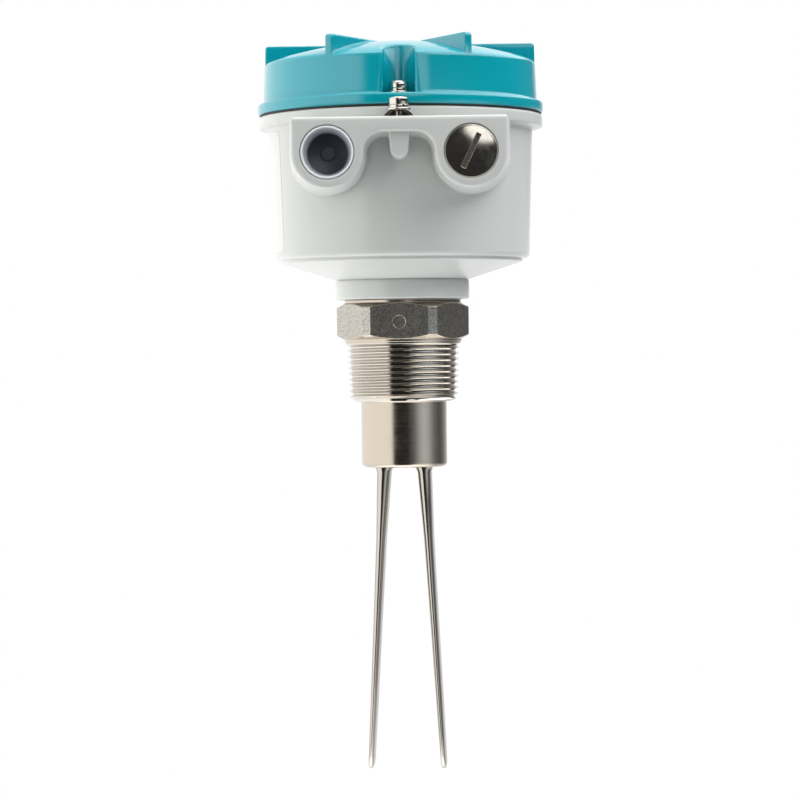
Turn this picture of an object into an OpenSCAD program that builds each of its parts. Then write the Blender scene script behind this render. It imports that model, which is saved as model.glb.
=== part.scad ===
// Vibrating fork level switch for bulk solids, with a taper pipe thread and a turnable cast housing.
// Origin: on the axis at the underside of the hexagon, where the thread begins. +Z up, front is -Y.

/* [Process connection] */
// Width of the hexagon across its flats
hex_across_flats = 46; // [42:0.5:50]
// Diameter that turning takes off the hexagon's corners
hex_corner_cut = 2.1; // [1:0.1:3]
// Height of the hexagon
hex_h = 14.9; // [10:0.1:22]
// Angle of the turned chamfers on the hexagon
hex_chamfer_deg = 30; // [15:1:40]
// Height of the turned foot under the hexagon
hex_foot_h = 0.9; // [0.5:0.1:2]
// Distance of the turned foot inside the flats
hex_foot_in = 0.3; // [0.2:0.1:1]
// Diameter of the punched mark on the front flat
hex_mark_d = 5; // [3:0.5:8]
// Depth of the punched mark
hex_mark_depth = 0.4; // [0.2:0.1:1]
// Width of the collar that the housing turns on
collar_out = 3.3; // [2:0.1:4]
// Height of the collar
collar_h = 1.35; // [0.8:0.05:3]
// Diameter of the thread over its first crest
thread_d = 43.4; // [40:0.1:44]
// Length of the thread, with its relief
thread_len = 23; // [16:0.5:30]
// Length over which the thread loses one unit of diameter
thread_taper = 16; // [12:1:24]
// Pitch of the thread
thread_pitch = 2.209; // [1.5:0.001:3]
// Depth of the thread
thread_depth = 1.4; // [0.8:0.1:1.8]
// Diameter of the relief between hexagon and thread
relief_d = 44.6; // [43:0.1:46]
// Height of the relief between hexagon and thread
relief_h = 1.7; // [1:0.1:3]
// Diameter of the tube under the thread
tube_d = 33; // [30:0.5:36]
// Length of the tube under the thread
tube_len = 25.3; // [15:0.1:60]
// Rounding of the tube's lower edge
tube_round = 1.2; // [0.5:0.1:1.8]
// Angle that the fork and hexagon stand turned under the housing
probe_turn = -3; // [-30:1:30]

/* [Fork] */
// Length of a blade below the tube
fork_len = 116.4; // [80:0.1:200]
// Distance of a blade's middle from the membrane's edge
fork_root_in = 6.9; // [6:0.1:8]
// Distance that a blade leans outwards over its length
fork_splay = 6.4; // [2:0.1:10]
// Thickness of a blade at its root
blade_root_t = 5; // [4:0.1:6]
// Thickness of a blade where its shank ends
blade_shank_t = 3.1; // [2.5:0.1:4]
// Thickness of a blade at its tip
blade_tip_t = 1.7; // [1.2:0.1:2.5]
// Length of the thick shank of a blade
blade_shank_len = 28; // [15:1:50]
// Width of a blade, front to back
blade_w = 18; // [12:0.5:20]
// Corner radius at the tip of a blade
blade_corner = 4; // [2:0.5:6]
// Width that a blade loses at its root
root_narrow = 1; // [0:0.1:2]
// Thickness of the membrane that carries the blades
membrane_t = 3.5; // [2:0.1:6]
// Height of the flare at the root of a blade
root_flare = 2.2; // [1:0.1:4]

/* [Drive] */
// Wall of the tube beside the membrane
tube_lip = 1.9; // [1.9:0.1:2.5]
// Width of the shoulder that the membrane is welded against
membrane_seat = 1.8; // [1:0.1:3]
// Bore up through the hexagon
lead_bore_d = 16; // [10:0.5:24]
// Height of the drive space above the membrane
drive_space = 24; // [22:1:30]
// Number of piezo discs
piezo_count = 4; // [2:2:4]
// Thickness of a piezo disc
piezo_t = 2.4; // [1.5:0.1:2.6]
// Thickness of a contact plate
contact_t = 0.4; // [0.2:0.1:0.5]
// Thickness of an insulating washer
insulator_t = 1; // [0.5:0.1:1.2]
// Outer diameter of the stack
stack_d = 18; // [14:0.5:21]
// Diameter of the clamp bolt
bolt_d = 6; // [4:0.5:8]
// Width of the clamp nut across its flats
nut_across_flats = 10; // [9:0.5:13]
// Height of the clamp nut
nut_h = 5; // [3:0.5:5]
// Bolt end standing out of the clamp nut
bolt_end = 2; // [1:0.5:3]
// Diameter of the sensor lead
lead_d = 4; // [2:0.5:5]

/* [Swivel] */
// Diameter of the spigot in the housing's neck
spigot_d = 38.4; // [34:0.1:40]
// Radial play of the spigot in the neck
spigot_play = 0.3; // [0.2:0.05:0.5]
// Thickness of the O-ring
o_ring_t = 2.6; // [2:0.1:3.5]
// Height of the O-ring's middle above the collar
o_ring_z = 5; // [3:0.5:8]
// Radial depth of the snap ring's groove
snap_groove = 1.2; // [0.8:0.1:2]
// Thickness of the snap ring
snap_t = 1.5; // [1:0.1:2]
// Width of the snap ring outside the spigot
snap_out = 2.3; // [1.5:0.1:3]
// Play between snap ring and housing floor
snap_play = 0.15; // [0.1:0.05:0.3]
// Gap cut in the snap ring
snap_gap = 5; // [2:0.5:8]

/* [Housing] */
// Wall of the neck
neck_wall = 6.3; // [4:0.1:8]
// Height of the neck
neck_h = 7.15; // [4:0.05:12]
// Height of the conical floor, outside
cone_h = 8.3; // [5:0.1:12]
// Diameter of the body under its rim
body_d = 101.6; // [98:0.2:120]
// Distance that the body's wall draws in towards its lower edge
body_draft = 1.6; // [0.5:0.1:3]
// Width of the step between body and conical floor
body_step = 2.8; // [2.5:0.1:5]
// Height of the step between the cone and the body
step_drop = 1.2; // [0.6:0.1:2]
// Height of the body from its step to the rim
body_h = 50.3; // [44:0.1:70]
// Rounding of the body's lower edge
body_round = 2; // [1:0.1:2.5]
// Distance that the rim stands out from the body
rim_out = 3.9; // [2:0.1:6]
// Height of the rim
rim_h = 4.6; // [3:0.1:8]
// Thickness of the body's wall under the rim
wall_t = 5.3; // [4.5:0.1:7]
// Thickness of the floor above the neck
neck_floor_t = 5.6; // [4:0.1:8]
// Thickness of the floor under the body's wall
floor_t = 5; // [3.5:0.1:7]
// Radius of the inner pillars for the lid screws
lid_pillar_r = 5.2; // [4:0.1:6]

/* [Conduit boss] */
// Distance that the boss stands out in front of the rim
boss_out = 11.8; // [10.5:0.1:18]
// Distance between the two entries
entry_spacing = 52.5; // [50:0.5:56]
// Height of the entries below the ledge
entry_drop = 13; // [12.5:0.1:15]
// Nominal diameter of the conduit thread
entry_d = 20; // [16:0.5:20.5]
// Wall round an entry, at the front
lobe_wall = 3.3; // [2.5:0.1:4]
// Widening of the boss from its front edge to the wall
boss_draft = 2.1; // [0:0.1:3]
// Rounding of the boss's front edges
boss_round = 1.5; // [0.5:0.1:2]
// Height of the bridge between the lobes
bridge_h = 5.6; // [4:0.1:8]
// Radius of the corners under the bridge
arch_r = 7.2; // [4:0.1:9]
// Width of the earth screw's lug at its top
lug_w = 8.4; // [7:0.1:10]
// Width of the lug at its foot
lug_foot_w = 6.6; // [5:0.1:8]
// Length of the lug below the ledge
lug_len = 15; // [12:0.5:18]
// Depth that the lug stands back from the front face
lug_back = 3; // [1:0.5:5]

/* [Entry fittings] */
// Radial play between an entry's thread and its fitting
entry_play = 0.1; // [0.05:0.05:0.3]
// Length of the blanking plug
plug_len = 12; // [8:0.5:18]
// Chamfer on the plug's face
plug_chamfer = 0.8; // [0.3:0.1:1.5]
// Height of the crown on the plug's face
plug_crown = 0.6; // [0.2:0.1:1.2]
// Length of the plug's slot
slot_len = 13.7; // [8:0.1:15]
// Width of the plug's slot
slot_w = 2; // [1:0.1:3]
// Depth of the plug's slot
slot_depth = 2.2; // [1:0.1:4]
// Lean of the plug's slot, clockwise from upright
slot_lean = 25.6; // [-90:0.1:90]
// Length of the transport cap
cap_len = 11; // [8:0.5:16]
// Wall of the cap at its floor
cap_wall = 2.3; // [1.5:0.1:4]
// Wall of the cap at its mouth
cap_lip = 1.1; // [0.8:0.1:1.5]
// Thickness of the cap's floor
cap_floor_t = 1.4; // [0.8:0.1:2]

/* [Lid] */
// Distance that the lid's flange stands out over the rim
flange_out = 0.3; // [0:0.1:1]
// Thickness of the lid's flange
flange_h = 4.2; // [3:0.1:6]
// Rounding of the flange's edges
flange_round = 0.9; // [0.3:0.1:1.4]
// Distance of the lid's wall from the flange's edge
lid_wall_in = 2.25; // [2:0.05:4]
// Distance that the lid's wall draws in towards the shoulder
lid_draft = 0.65; // [0.2:0.05:2]
// Height of the lid's wall
lid_wall_h = 15.7; // [12:0.1:30]
// Rounding of the lid's shoulder
shoulder_round = 1.4; // [0.5:0.1:2]
// Rise of the dome above the shoulder
dome_rise = 8; // [5:0.1:12]
// Thickness of the lid's shell
lid_shell = 3.2; // [2.5:0.1:4]
// Number of ribs on the dome
rib_count = 6; // [3:3:9]
// Thickness of a rib
rib_t = 3; // [2:0.1:5]
// Height of the ribs' tops above the shoulder
rib_rise = 7.1; // [4:0.1:8]
// Distance from the axis where a rib begins
rib_start = 12; // [5:1:15]
// Radius of the notch round a lid screw
notch_r = 5.9; // [5.2:0.1:7]
// Wall round a notch, inside the lid
notch_wall = 2.8; // [2:0.1:3.5]
// Thickness of the gasket under the lid
gasket_t = 0.8; // [0.5:0.1:1.5]
// Distance that the gasket stands back from the rim's edges
gasket_inset = 0.4; // [0.2:0.1:1]

/* [Screws] */
// Thread diameter of the lid and earth screws
screw_d = 4; // [3:0.5:4]
// Radial play of a screw in its hole
screw_play = 0.15; // [0.1:0.05:0.3]
// Diameter of a pan head
head_d = 7.4; // [7:0.1:8]
// Height of a pan head
head_h = 3.2; // [2:0.1:4]
// Length of a lid screw's shank
lid_screw_len = 18; // [12:0.5:20]
// Length of an earth screw's shank
earth_screw_len = 14; // [10:0.5:15]
// Distance of the lid screws from the inner wall
lid_screw_in = 1.5; // [1:0.1:2]
// Number of lid screws
lid_screw_count = 3; // [3:3:3]
// Outer diameter of a flat washer
washer_d = 9; // [8.2:0.1:9.5]
// Thickness of a flat washer
washer_t = 0.8; // [0.5:0.1:1.2]
// Outer diameter of a split lock washer
lock_d = 7.2; // [6.8:0.1:7.6]
// Thickness of a split lock washer
lock_t = 1.1; // [0.8:0.1:1.5]
// Gap cut in a lock washer
lock_gap = 0.9; // [0.5:0.1:1.5]
// Width of the cross recess in a head
recess_w = 1; // [0.6:0.1:1.4]
// Depth of the cross recess in a head
recess_depth = 1.6; // [0.8:0.1:1.8]

/* [Earth terminal] */
// Distance of the outer earth screw from the rim
earth_out = 5.8; // [5.3:0.1:7]
// Width of the saddle clamp
clamp_w = 11; // [9.5:0.1:13]
// Depth of the saddle clamp, front to back
clamp_depth = 9; // [7:0.5:10]
// Height of the saddle clamp
clamp_h = 2.4; // [1.8:0.1:4]
// Thickness of the saddle clamp's sheet
clamp_t = 0.8; // [0.5:0.1:1.2]
// Width of the flat that the washer sits on
clamp_flat = 5; // [4.5:0.1:7]
// Room between the electronics and the inner earth lug
inner_lug_room = 3; // [1:0.5:8]
// Side of the inner earth lug
inner_lug_side = 10; // [8.5:0.5:13]
// Length of the inner earth lug from the wall
inner_lug_len = 10; // [8:0.5:12]

/* [Electronics] */
// Room between the carrier tray and the lid screws' pillars
tray_room = 1.8; // [1:0.1:4]
// Height of the carrier tray
tray_h = 10; // [8:0.5:16]
// Wall and floor of the carrier tray
tray_wall = 2.4; // [1.6:0.1:3]
// Height of the tray above the cavity's floor
tray_z = 12; // [9:0.5:16]
// Width of the ledge under the board
board_ledge = 2; // [1:0.1:3]
// Thickness of the circuit board
board_t = 1.6; // [1:0.1:2]
// Play round the circuit board
board_play = 0.3; // [0.2:0.1:0.6]
// Distance of the module screws from the tray's edge
module_screw_in = 8; // [7:0.5:9]
// Thread diameter of a module screw
module_screw_d = 3; // [2.5:0.5:4]
// Length of a module screw's shank
module_screw_len = 15; // [13:0.5:16]
// Radius of the pillars under the tray
module_pillar_r = 4; // [3.5:0.1:5]
// Outer radius of the socket that takes the sensor lead
lead_socket_r = 5; // [4:0.1:7]
// Depth of the socket that takes the sensor lead
lead_socket_len = 5; // [3:0.5:6]
// Number of terminal poles
pole_count = 8; // [4:1:9]
// Width of a terminal pole
pole_w = 5.08; // [4:0.02:5.2]
// Depth of the terminal block
block_depth = 12; // [9:0.5:13]
// Room between the terminal block and the module screw's head
block_room = 3; // [1:0.5:5]
// Height of the terminal block
block_h = 12; // [9:0.5:16]
// Diameter of a terminal screw
pole_screw_d = 3; // [2:0.1:3.4]
// Side of a wire hole in the terminal block
wire_hole = 3; // [2:0.1:3.2]
// Length of the relay
relay_len = 20; // [15:0.5:24]
// Width of the relay
relay_w = 10; // [8:0.5:12]
// Height of the relay
relay_h = 10.5; // [8:0.5:15]
// Diameter of the status LED
led_d = 5; // [3:0.5:6]
// Height of the status LED
led_h = 8; // [6:0.5:10]
// Length of the mode switch's body
switch_len = 11; // [10:0.5:14]
// Width of the mode switch's body
switch_w = 6; // [5:0.5:8]
// Height of the mode switch's body
switch_h = 5; // [4:0.5:8]
// Travel of the mode switch's slider
slider_travel = 3; // [2:0.5:3.5]
// Side of the slider's knob
slider_side = 3; // [2:0.1:3.4]
// Height of the slider above the switch
slider_h = 2.5; // [1.5:0.1:4]
// Side of the trimmer's body
trimmer_side = 9; // [7:0.5:11]
// Height of the trimmer's body
trimmer_h = 5; // [4:0.5:8]
// Diameter of the trimmer's dial
dial_d = 6; // [4:0.5:6.4]
// Height of the trimmer's dial above its body
dial_h = 1.5; // [1:0.1:3]

/* [Hidden] */
$fn = 64;
fine_fn = 128;
blade_fn = 32;
over = 1;
arc_steps = 5;
lobe_steps = 20;
corner_steps = 10;
round_steps = 3;

// Heights of the faces that the pieces stand on
collar_z = hex_h + collar_h;
neck_top_z = collar_z + neck_h;
neck_floor_z = neck_top_z + neck_floor_t;
step_z = neck_top_z + cone_h;
floor_z = step_z + floor_t;
ledge_z = step_z + body_h;
rim_z = ledge_z + rim_h;
lid_z = rim_z + gasket_t;
flange_top_z = lid_z + flange_h;
shoulder_z = flange_top_z + lid_wall_h;
dome_z = shoulder_z + dome_rise;
tube_z = -thread_len - tube_len;
tip_z = tube_z - fork_len;

// Swivel
spigot_r = spigot_d / 2;
collar_r = spigot_r + collar_out;
neck_bore_r = spigot_r + spigot_play;
neck_r = neck_bore_r + neck_wall;
snap_r = spigot_r + snap_out;
snap_groove_r = spigot_r - snap_groove;
snap_z = neck_floor_z + snap_play;
spigot_top_z = snap_z + snap_t + snap_groove;
o_ring_mid_z = collar_z + o_ring_z;
o_ring_r = neck_bore_r - spigot_play / 2 - o_ring_t / 2;
o_ring_side_play = 0.2;

// Housing and lid
body_r = body_d / 2;
body_low_r = body_r - body_draft;
cone_top_r = body_low_r - body_step;
cavity_r = body_r - wall_t;
rim_r = body_r + rim_out;
flange_r = rim_r + flange_out;
lid_wall_r = flange_r - lid_wall_in;
shoulder_r = lid_wall_r - lid_draft;
dome_r = (pow(shoulder_r, 2) + pow(dome_rise, 2)) / (2 * dome_rise);

// Conduit boss
entry_x = entry_spacing / 2;
entry_z = ledge_z - entry_drop;
entry_r = entry_d / 2;
lobe_r = entry_r + lobe_wall;
boss_front = rim_r + boss_out;
boss_side_x = entry_x + lobe_r;
boss_back = sqrt(pow(body_low_r, 2) - pow(boss_side_x + boss_draft, 2));
arch_room = 0.1;
arch_corner = min(arch_r, entry_drop - bridge_h - arch_room);

// Drive
membrane_r = tube_d / 2 - tube_lip;
membrane_top_z = tube_z + membrane_t;
drive_r = membrane_r - membrane_seat;
drive_top_z = membrane_top_z + drive_space;
bolt_play = 0.3;
weld_play = 0.05;
stack_step = piezo_t + contact_t;
stack_z = membrane_top_z + insulator_t;
stack_top_z = stack_z + piezo_count * stack_step + contact_t;
nut_z = stack_top_z + insulator_t;
bolt_top_z = nut_z + nut_h + bolt_end;

// Screws
lid_screw_r = cavity_r + lid_screw_in;
lid_screw_angles = [for (i = [0 : lid_screw_count - 1]) -90 + i * 360 / lid_screw_count];
screw_hole_r = screw_d / 2 + screw_play;
lid_head_z = flange_top_z + washer_t + lock_t;
lid_screw_end_z = lid_head_z - lid_screw_len;
hole_end_play = 0.6;
earth_y = rim_r + earth_out;
earth_washer_z = ledge_z + clamp_h;
earth_head_z = earth_washer_z + washer_t + lock_t;

// Electronics
tray_r = lid_screw_r - lid_pillar_r - tray_room;
tray_base_z = floor_z + tray_z;
board_z = tray_base_z + tray_h;
board_base_z = board_z - board_t;
board_r = tray_r - tray_wall - board_play;
lead_play = 0.3;
lead_end_play = 0.5;
lead_top_z = tray_base_z - lead_end_play;
module_screw_r = tray_r - module_screw_in;
module_angles = lid_screw_angles;
block_place = [0, -(module_screw_r - module_screw_d - block_room - block_depth / 2)];
pole_screw_sink = 2;
relay_place = [8, 15];
led_place = [-2, 2];
switch_place = [-16, 2];
trimmer_place = [-12, 17];
inner_earth_angle = 90;
inner_earth_r = cavity_r - inner_lug_len / 2;
inner_earth_len = 8;
inner_lug_z = board_z + inner_lug_room;
inner_lug_top_z = inner_lug_z + inner_lug_side;

// Points of an arc about a centre, from one angle to another
function arc(x, y, r, from, to, steps = arc_steps) =
    [for (i = [0 : steps]) let (a = from + (to - from) * i / steps) [x + r * cos(a), y + r * sin(a)]];

// Flat ring standing on a height
module ring(outer_r, inner_r, z, h) {
    translate([0, 0, z]) difference() {
        cylinder(r = outer_r, h = h, $fn = fine_fn);
        translate([0, 0, -over]) cylinder(r = inner_r, h = h + 2 * over, $fn = fine_fn);
    }
}

// Cylinder along Y from the front to the back, with its own radius at each end
module along_y(x, z, front_y, front_r, back_y, back_r) {
    translate([x, front_y, z]) rotate([-90, 0, 0])
        cylinder(r1 = front_r, r2 = back_r, h = back_y - front_y, $fn = fine_fn);
}

// Pan head screw with a cross recess, its head standing on the origin
module pan_screw(shank_d, shank_len, head_w, head_height) {
    edge = head_height * 0.55;
    crown_deg = 80;
    recess_len = head_w * 0.6;
    difference() {
        union() {
            rotate_extrude() polygon(concat([[0, 0]],
                arc(head_w / 2 - edge, head_height - edge, edge, 0, crown_deg), [[0, head_height]],
                [[0, 0]]));
            cylinder(d = head_w, h = head_height - edge);
            translate([0, 0, -shank_len]) cylinder(d = shank_d, h = shank_len + head_height / 2);
        }
        for (turn = [0, 90]) rotate(turn)
            translate([-recess_len / 2, -recess_w / 2, head_height - recess_depth])
                cube([recess_len, recess_w, recess_depth + over]);
    }
}

// Split spring washer standing on the origin
module lock_washer() {
    difference() {
        cylinder(d = lock_d, h = lock_t);
        translate([0, 0, -over]) cylinder(r = screw_hole_r, h = lock_t + 2 * over);
        rotate(-60) translate([0, -lock_gap / 2, -over]) cube([lock_d, lock_gap, lock_t + 2 * over]);
    }
}

// Flat washer standing on the origin
module flat_washer() {
    ring(washer_d / 2, screw_hole_r, 0, washer_t);
}

// Repeats its children at each lid screw
module at_lid_screws(z) {
    for (angle = lid_screw_angles) rotate(angle) translate([lid_screw_r, 0, z]) children();
}

// Repeats its children at each module screw
module at_module_screws(z) {
    for (angle = module_angles) rotate(angle) translate([module_screw_r, 0, z]) children();
}

// Outer form of the lid before it is hollowed: flange, drafted wall, rounded shoulder and dome
module lid_form() {
    shoulder_end_deg = 70;
    intersection() {
        rotate_extrude($fn = fine_fn) polygon(concat(
            [[0, lid_z]],
            arc(flange_r - flange_round, lid_z + flange_round, flange_round, -90, 0),
            arc(flange_r - flange_round, flange_top_z - flange_round, flange_round, 0, 90),
            arc(lid_wall_r + flange_round, flange_top_z + flange_round, flange_round, 270, 180),
            arc(shoulder_r - shoulder_round, shoulder_z - shoulder_round, shoulder_round, 0,
                shoulder_end_deg),
            [[0, dome_z + dome_rise]]));
        translate([0, 0, dome_z - dome_r]) sphere(r = dome_r, $fn = fine_fn);
    }
}

// Slot with a round inner end, as the notches and the walls round them take it
module notch_form(r, z, h) {
    at_lid_screws(z) {
        cylinder(r = r, h = h);
        translate([0, -r, 0]) cube([flange_r, 2 * r, h]);
    }
}

// Radial ribs with level tops, flush with the wall at their outer ends
module lid_ribs() {
    intersection() {
        union() for (i = [0 : rib_count - 1]) rotate(i * 360 / rib_count)
            translate([rib_start, -rib_t / 2, flange_top_z + lid_wall_h / 2])
                cube([flange_r, rib_t, lid_wall_h / 2 + rib_rise]);
        translate([0, 0, flange_top_z]) cylinder(r1 = lid_wall_r,
            r2 = shoulder_r - lid_draft * rib_rise / lid_wall_h, h = lid_wall_h + rib_rise, $fn = fine_fn);
    }
}

// Space under the lid: drafted wall and a dome parallel to the outer one
module lid_hollow() {
    intersection() {
        translate([0, 0, lid_z - over]) cylinder(r1 = lid_wall_r - lid_shell, r2 = shoulder_r - lid_shell,
            h = dome_z - lid_z, $fn = fine_fn);
        translate([0, 0, dome_z - dome_r]) sphere(r = dome_r - lid_shell, $fn = fine_fn);
    }
}

module lid() {
    color([0.02, 0.55, 0.6]) difference() {
        union() {
            difference() {
                union() {
                    lid_form();
                    lid_ribs();
                }
                lid_hollow();
            }
            intersection() {
                lid_form();
                notch_form(notch_r + notch_wall, lid_z, dome_z);
            }
        }
        notch_form(notch_r, flange_top_z, dome_z);
        at_lid_screws(lid_z - over) cylinder(r = screw_hole_r, h = flange_h + 2 * over);
    }
}

module lid_gasket() {
    color([0.08, 0.08, 0.08]) difference() {
        union() {
            ring(rim_r - gasket_inset, cavity_r + gasket_inset, rim_z, gasket_t);
            at_lid_screws(rim_z) cylinder(r = lid_pillar_r - gasket_inset, h = gasket_t);
        }
        at_lid_screws(rim_z - over) cylinder(r = screw_hole_r, h = gasket_t + 2 * over);
    }
}

module lid_screws() {
    color([0.75, 0.75, 0.73]) at_lid_screws(lid_head_z) pan_screw(screw_d, lid_screw_len, head_d, head_h);
}

module lid_lock_washers() {
    color([0.7, 0.7, 0.68]) at_lid_screws(flange_top_z + washer_t) lock_washer();
}

module lid_flat_washers() {
    color([0.7, 0.7, 0.68]) at_lid_screws(flange_top_z) flat_washer();
}

// Outer form of the cast body: neck, conical floor, step, drafted wall and rim
module body_form() {
    fillet = rim_out / 2;
    edge = boss_round / 2;
    rotate_extrude($fn = fine_fn) polygon(concat(
        [[0, collar_z], [neck_r - edge, collar_z], [neck_r, collar_z + edge], [neck_r, neck_top_z],
            [cone_top_r, step_z - step_drop], [cone_top_r, step_z]],
        arc(body_low_r - body_round, step_z + body_round, body_round, -90, 0),
        arc(body_r + fillet, ledge_z - fillet, fillet, 180, 90),
        [[rim_r - edge, ledge_z], [rim_r, ledge_z + edge], [rim_r, rim_z - edge], [rim_r - edge, rim_z],
            [0, rim_z]]));
}

// Outline of the conduit boss seen from the front, drawn in by an inset: ledge, two lobes and the arch
function boss_outline(inset) =
    let (side_x = boss_side_x - inset, top_z = ledge_z - max(inset, 0),
        corner_x = entry_x - lobe_r - arch_corner, corner_z = ledge_z - bridge_h - arch_corner)
    concat([[-side_x, top_z], [side_x, top_z]],
        arc(entry_x, entry_z, lobe_r - inset, 0, -180, lobe_steps),
        arc(corner_x, corner_z, arch_corner + inset, 0, 90, corner_steps),
        arc(-corner_x, corner_z, arch_corner + inset, 90, 180, corner_steps),
        arc(-entry_x, entry_z, lobe_r - inset, 0, -180, lobe_steps));

// Boss lofted from its rounded front edge back to the wall, widening with its draft, and faced off in front
module boss_form() {
    stations = concat(
        [[-boss_front - over, boss_round]],
        [for (a = [0 : 90 / round_steps : 90])
            [-boss_front + boss_round * (1 - cos(a)), boss_round * (1 - sin(a))]],
        [[-boss_back, -boss_draft]]);
    count = len(boss_outline(0));
    last = len(stations) - 1;
    intersection() {
        polyhedron(
            points = [for (station = stations) for (point = boss_outline(station[1]))
                [point[0], station[0], point[1]]],
            faces = concat(
                [[for (k = [0 : count - 1]) k]],
                [[for (k = [count - 1 : -1 : 0]) last * count + k]],
                [for (i = [0 : last - 1]) for (k = [0 : count - 1]) let (next = (k + 1) % count)
                    [i * count + k, (i + 1) * count + k, (i + 1) * count + next, i * count + next]]));
        translate([-2 * boss_side_x, -boss_front, 0]) cube([4 * boss_side_x, boss_front, rim_z]);
    }
}

// Upright lug under the bridge that gives the earth screw its thread
module earth_lug() {
    foot_r = lug_foot_w / 2;
    foot_z = ledge_z - lug_len + foot_r;
    top_z = ledge_z - bridge_h / 2;
    lug_front = boss_front - lug_back;
    lug_depth = lug_front - (cavity_r + wall_t / 2);
    translate([0, -lug_front + lug_depth, 0]) rotate([90, 0, 0]) linear_extrude(lug_depth)
        polygon(concat(arc(0, foot_z, foot_r, 180, 360, lobe_steps),
            [[lug_w / 2, top_z], [-lug_w / 2, top_z]]));
}

// Inner space: cylinder above, sloping floor and flat round the neck
module cavity() {
    flat_r = snap_r + over;
    rotate_extrude($fn = fine_fn) polygon([[0, neck_floor_z], [flat_r, neck_floor_z],
        [cavity_r - floor_t, floor_z], [cavity_r, floor_z + floor_t], [cavity_r, rim_z + over],
        [0, rim_z + over]]);
}

// What is left standing in the inner space: pillars for the lid screws, posts for the electronics
// and a lug on the rear wall for the inner earth screw
module inner_lugs() {
    at_lid_screws(neck_floor_z - over) cylinder(r = lid_pillar_r, h = rim_z - neck_floor_z + 3 * over);
    at_module_screws(neck_floor_z - over) cylinder(r = module_pillar_r,
        h = tray_base_z - neck_floor_z + over);
    rotate(inner_earth_angle) translate([cavity_r - inner_lug_len, -inner_lug_side / 2, inner_lug_z])
        cube([inner_lug_len + over, inner_lug_side, inner_lug_side]);
}

module housing() {
    color([0.85, 0.86, 0.85]) difference() {
        union() {
            body_form();
            boss_form();
            earth_lug();
        }
        difference() {
            cavity();
            inner_lugs();
        }
        translate([0, 0, collar_z - over]) cylinder(r = neck_bore_r,
            h = neck_floor_z - collar_z + 2 * over, $fn = fine_fn);
        for (side = [-1, 1]) along_y(side * entry_x, entry_z, -boss_front - over, entry_r,
            -boss_back, entry_r);
        at_lid_screws(lid_screw_end_z - hole_end_play) cylinder(r = screw_hole_r,
            h = rim_z - lid_screw_end_z + hole_end_play + over);
        at_module_screws(board_z - module_screw_len - hole_end_play)
            cylinder(r = module_screw_d / 2 + screw_play, h = module_screw_len + hole_end_play);
        translate([0, -earth_y, earth_head_z - earth_screw_len - hole_end_play])
            cylinder(r = screw_hole_r, h = earth_screw_len);
        rotate(inner_earth_angle) translate([inner_earth_r, 0,
            inner_lug_top_z - inner_earth_len - hole_end_play])
            cylinder(r = screw_hole_r, h = inner_earth_len + hole_end_play + over);
    }
}

module earth_clamp() {
    middle_z = (pow(clamp_flat / 2, 2) + pow(clamp_h, 2) - pow(clamp_w / 2, 2)) / clamp_h / 2;
    bend_r = sqrt(pow(clamp_w / 2, 2) + pow(middle_z, 2));
    color([0.72, 0.72, 0.7]) translate([0, -earth_y, ledge_z]) difference() {
        translate([0, clamp_depth / 2, 0]) rotate([90, 0, 0]) linear_extrude(clamp_depth) difference() {
            intersection() {
                translate([0, middle_z]) circle(r = bend_r, $fn = fine_fn);
                translate([-clamp_w / 2, 0]) square([clamp_w, clamp_h]);
            }
            intersection() {
                translate([0, middle_z]) circle(r = bend_r - clamp_t, $fn = fine_fn);
                translate([-clamp_w / 2, -over]) square([clamp_w, clamp_h - clamp_t + over]);
            }
        }
        cylinder(r = screw_hole_r, h = clamp_h + over);
    }
}

module earth_flat_washer() {
    color([0.72, 0.72, 0.7]) translate([0, -earth_y, earth_washer_z]) flat_washer();
}

module earth_lock_washer() {
    color([0.72, 0.72, 0.7]) translate([0, -earth_y, earth_washer_z + washer_t]) lock_washer();
}

module earth_screw() {
    color([0.75, 0.75, 0.73]) translate([0, -earth_y, earth_head_z])
        pan_screw(screw_d, earth_screw_len, head_d, head_h);
}

module inner_earth_screw() {
    color([0.75, 0.75, 0.73]) rotate(inner_earth_angle) translate([inner_earth_r, 0, inner_lug_top_z])
        pan_screw(screw_d, inner_earth_len, head_d, head_h);
}

module blanking_plug() {
    plug_r = entry_r - entry_play;
    face_r = plug_r - plug_chamfer;
    crown_r = (face_r * face_r + plug_crown * plug_crown) / plug_crown / 2;
    crown_steps = 6;
    color([0.8, 0.78, 0.74]) translate([entry_x, -boss_front, entry_z]) rotate([-90, 0, 0])
        difference() {
            rotate_extrude($fn = fine_fn) polygon(concat(
                [for (i = [0:crown_steps]) let (r = face_r * i / crown_steps)
                    [r, crown_r - sqrt(crown_r * crown_r - r * r)]],
                [[plug_r, plug_crown + plug_chamfer], [plug_r, plug_len], [0, plug_len]]));
            rotate(slot_lean) translate([0, 0, -over]) linear_extrude(slot_depth + over)
                square([slot_w, slot_len], center = true);
        }
}

module transport_cap() {
    cap_r = entry_r - entry_play;
    floor_y = cap_len - cap_floor_t;
    edge = cap_lip / 2;
    color([0.55, 0.6, 0.65]) translate([-entry_x, -boss_front, entry_z]) rotate([-90, 0, 0])
        rotate_extrude($fn = fine_fn) polygon([[0, floor_y], [cap_r - cap_wall, floor_y],
            [cap_r - cap_lip, edge], [cap_r - cap_lip, 0], [cap_r - edge, 0], [cap_r, edge],
            [cap_r, floor_y], [cap_r - cap_floor_t, cap_len], [0, cap_len]]);
}

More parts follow.
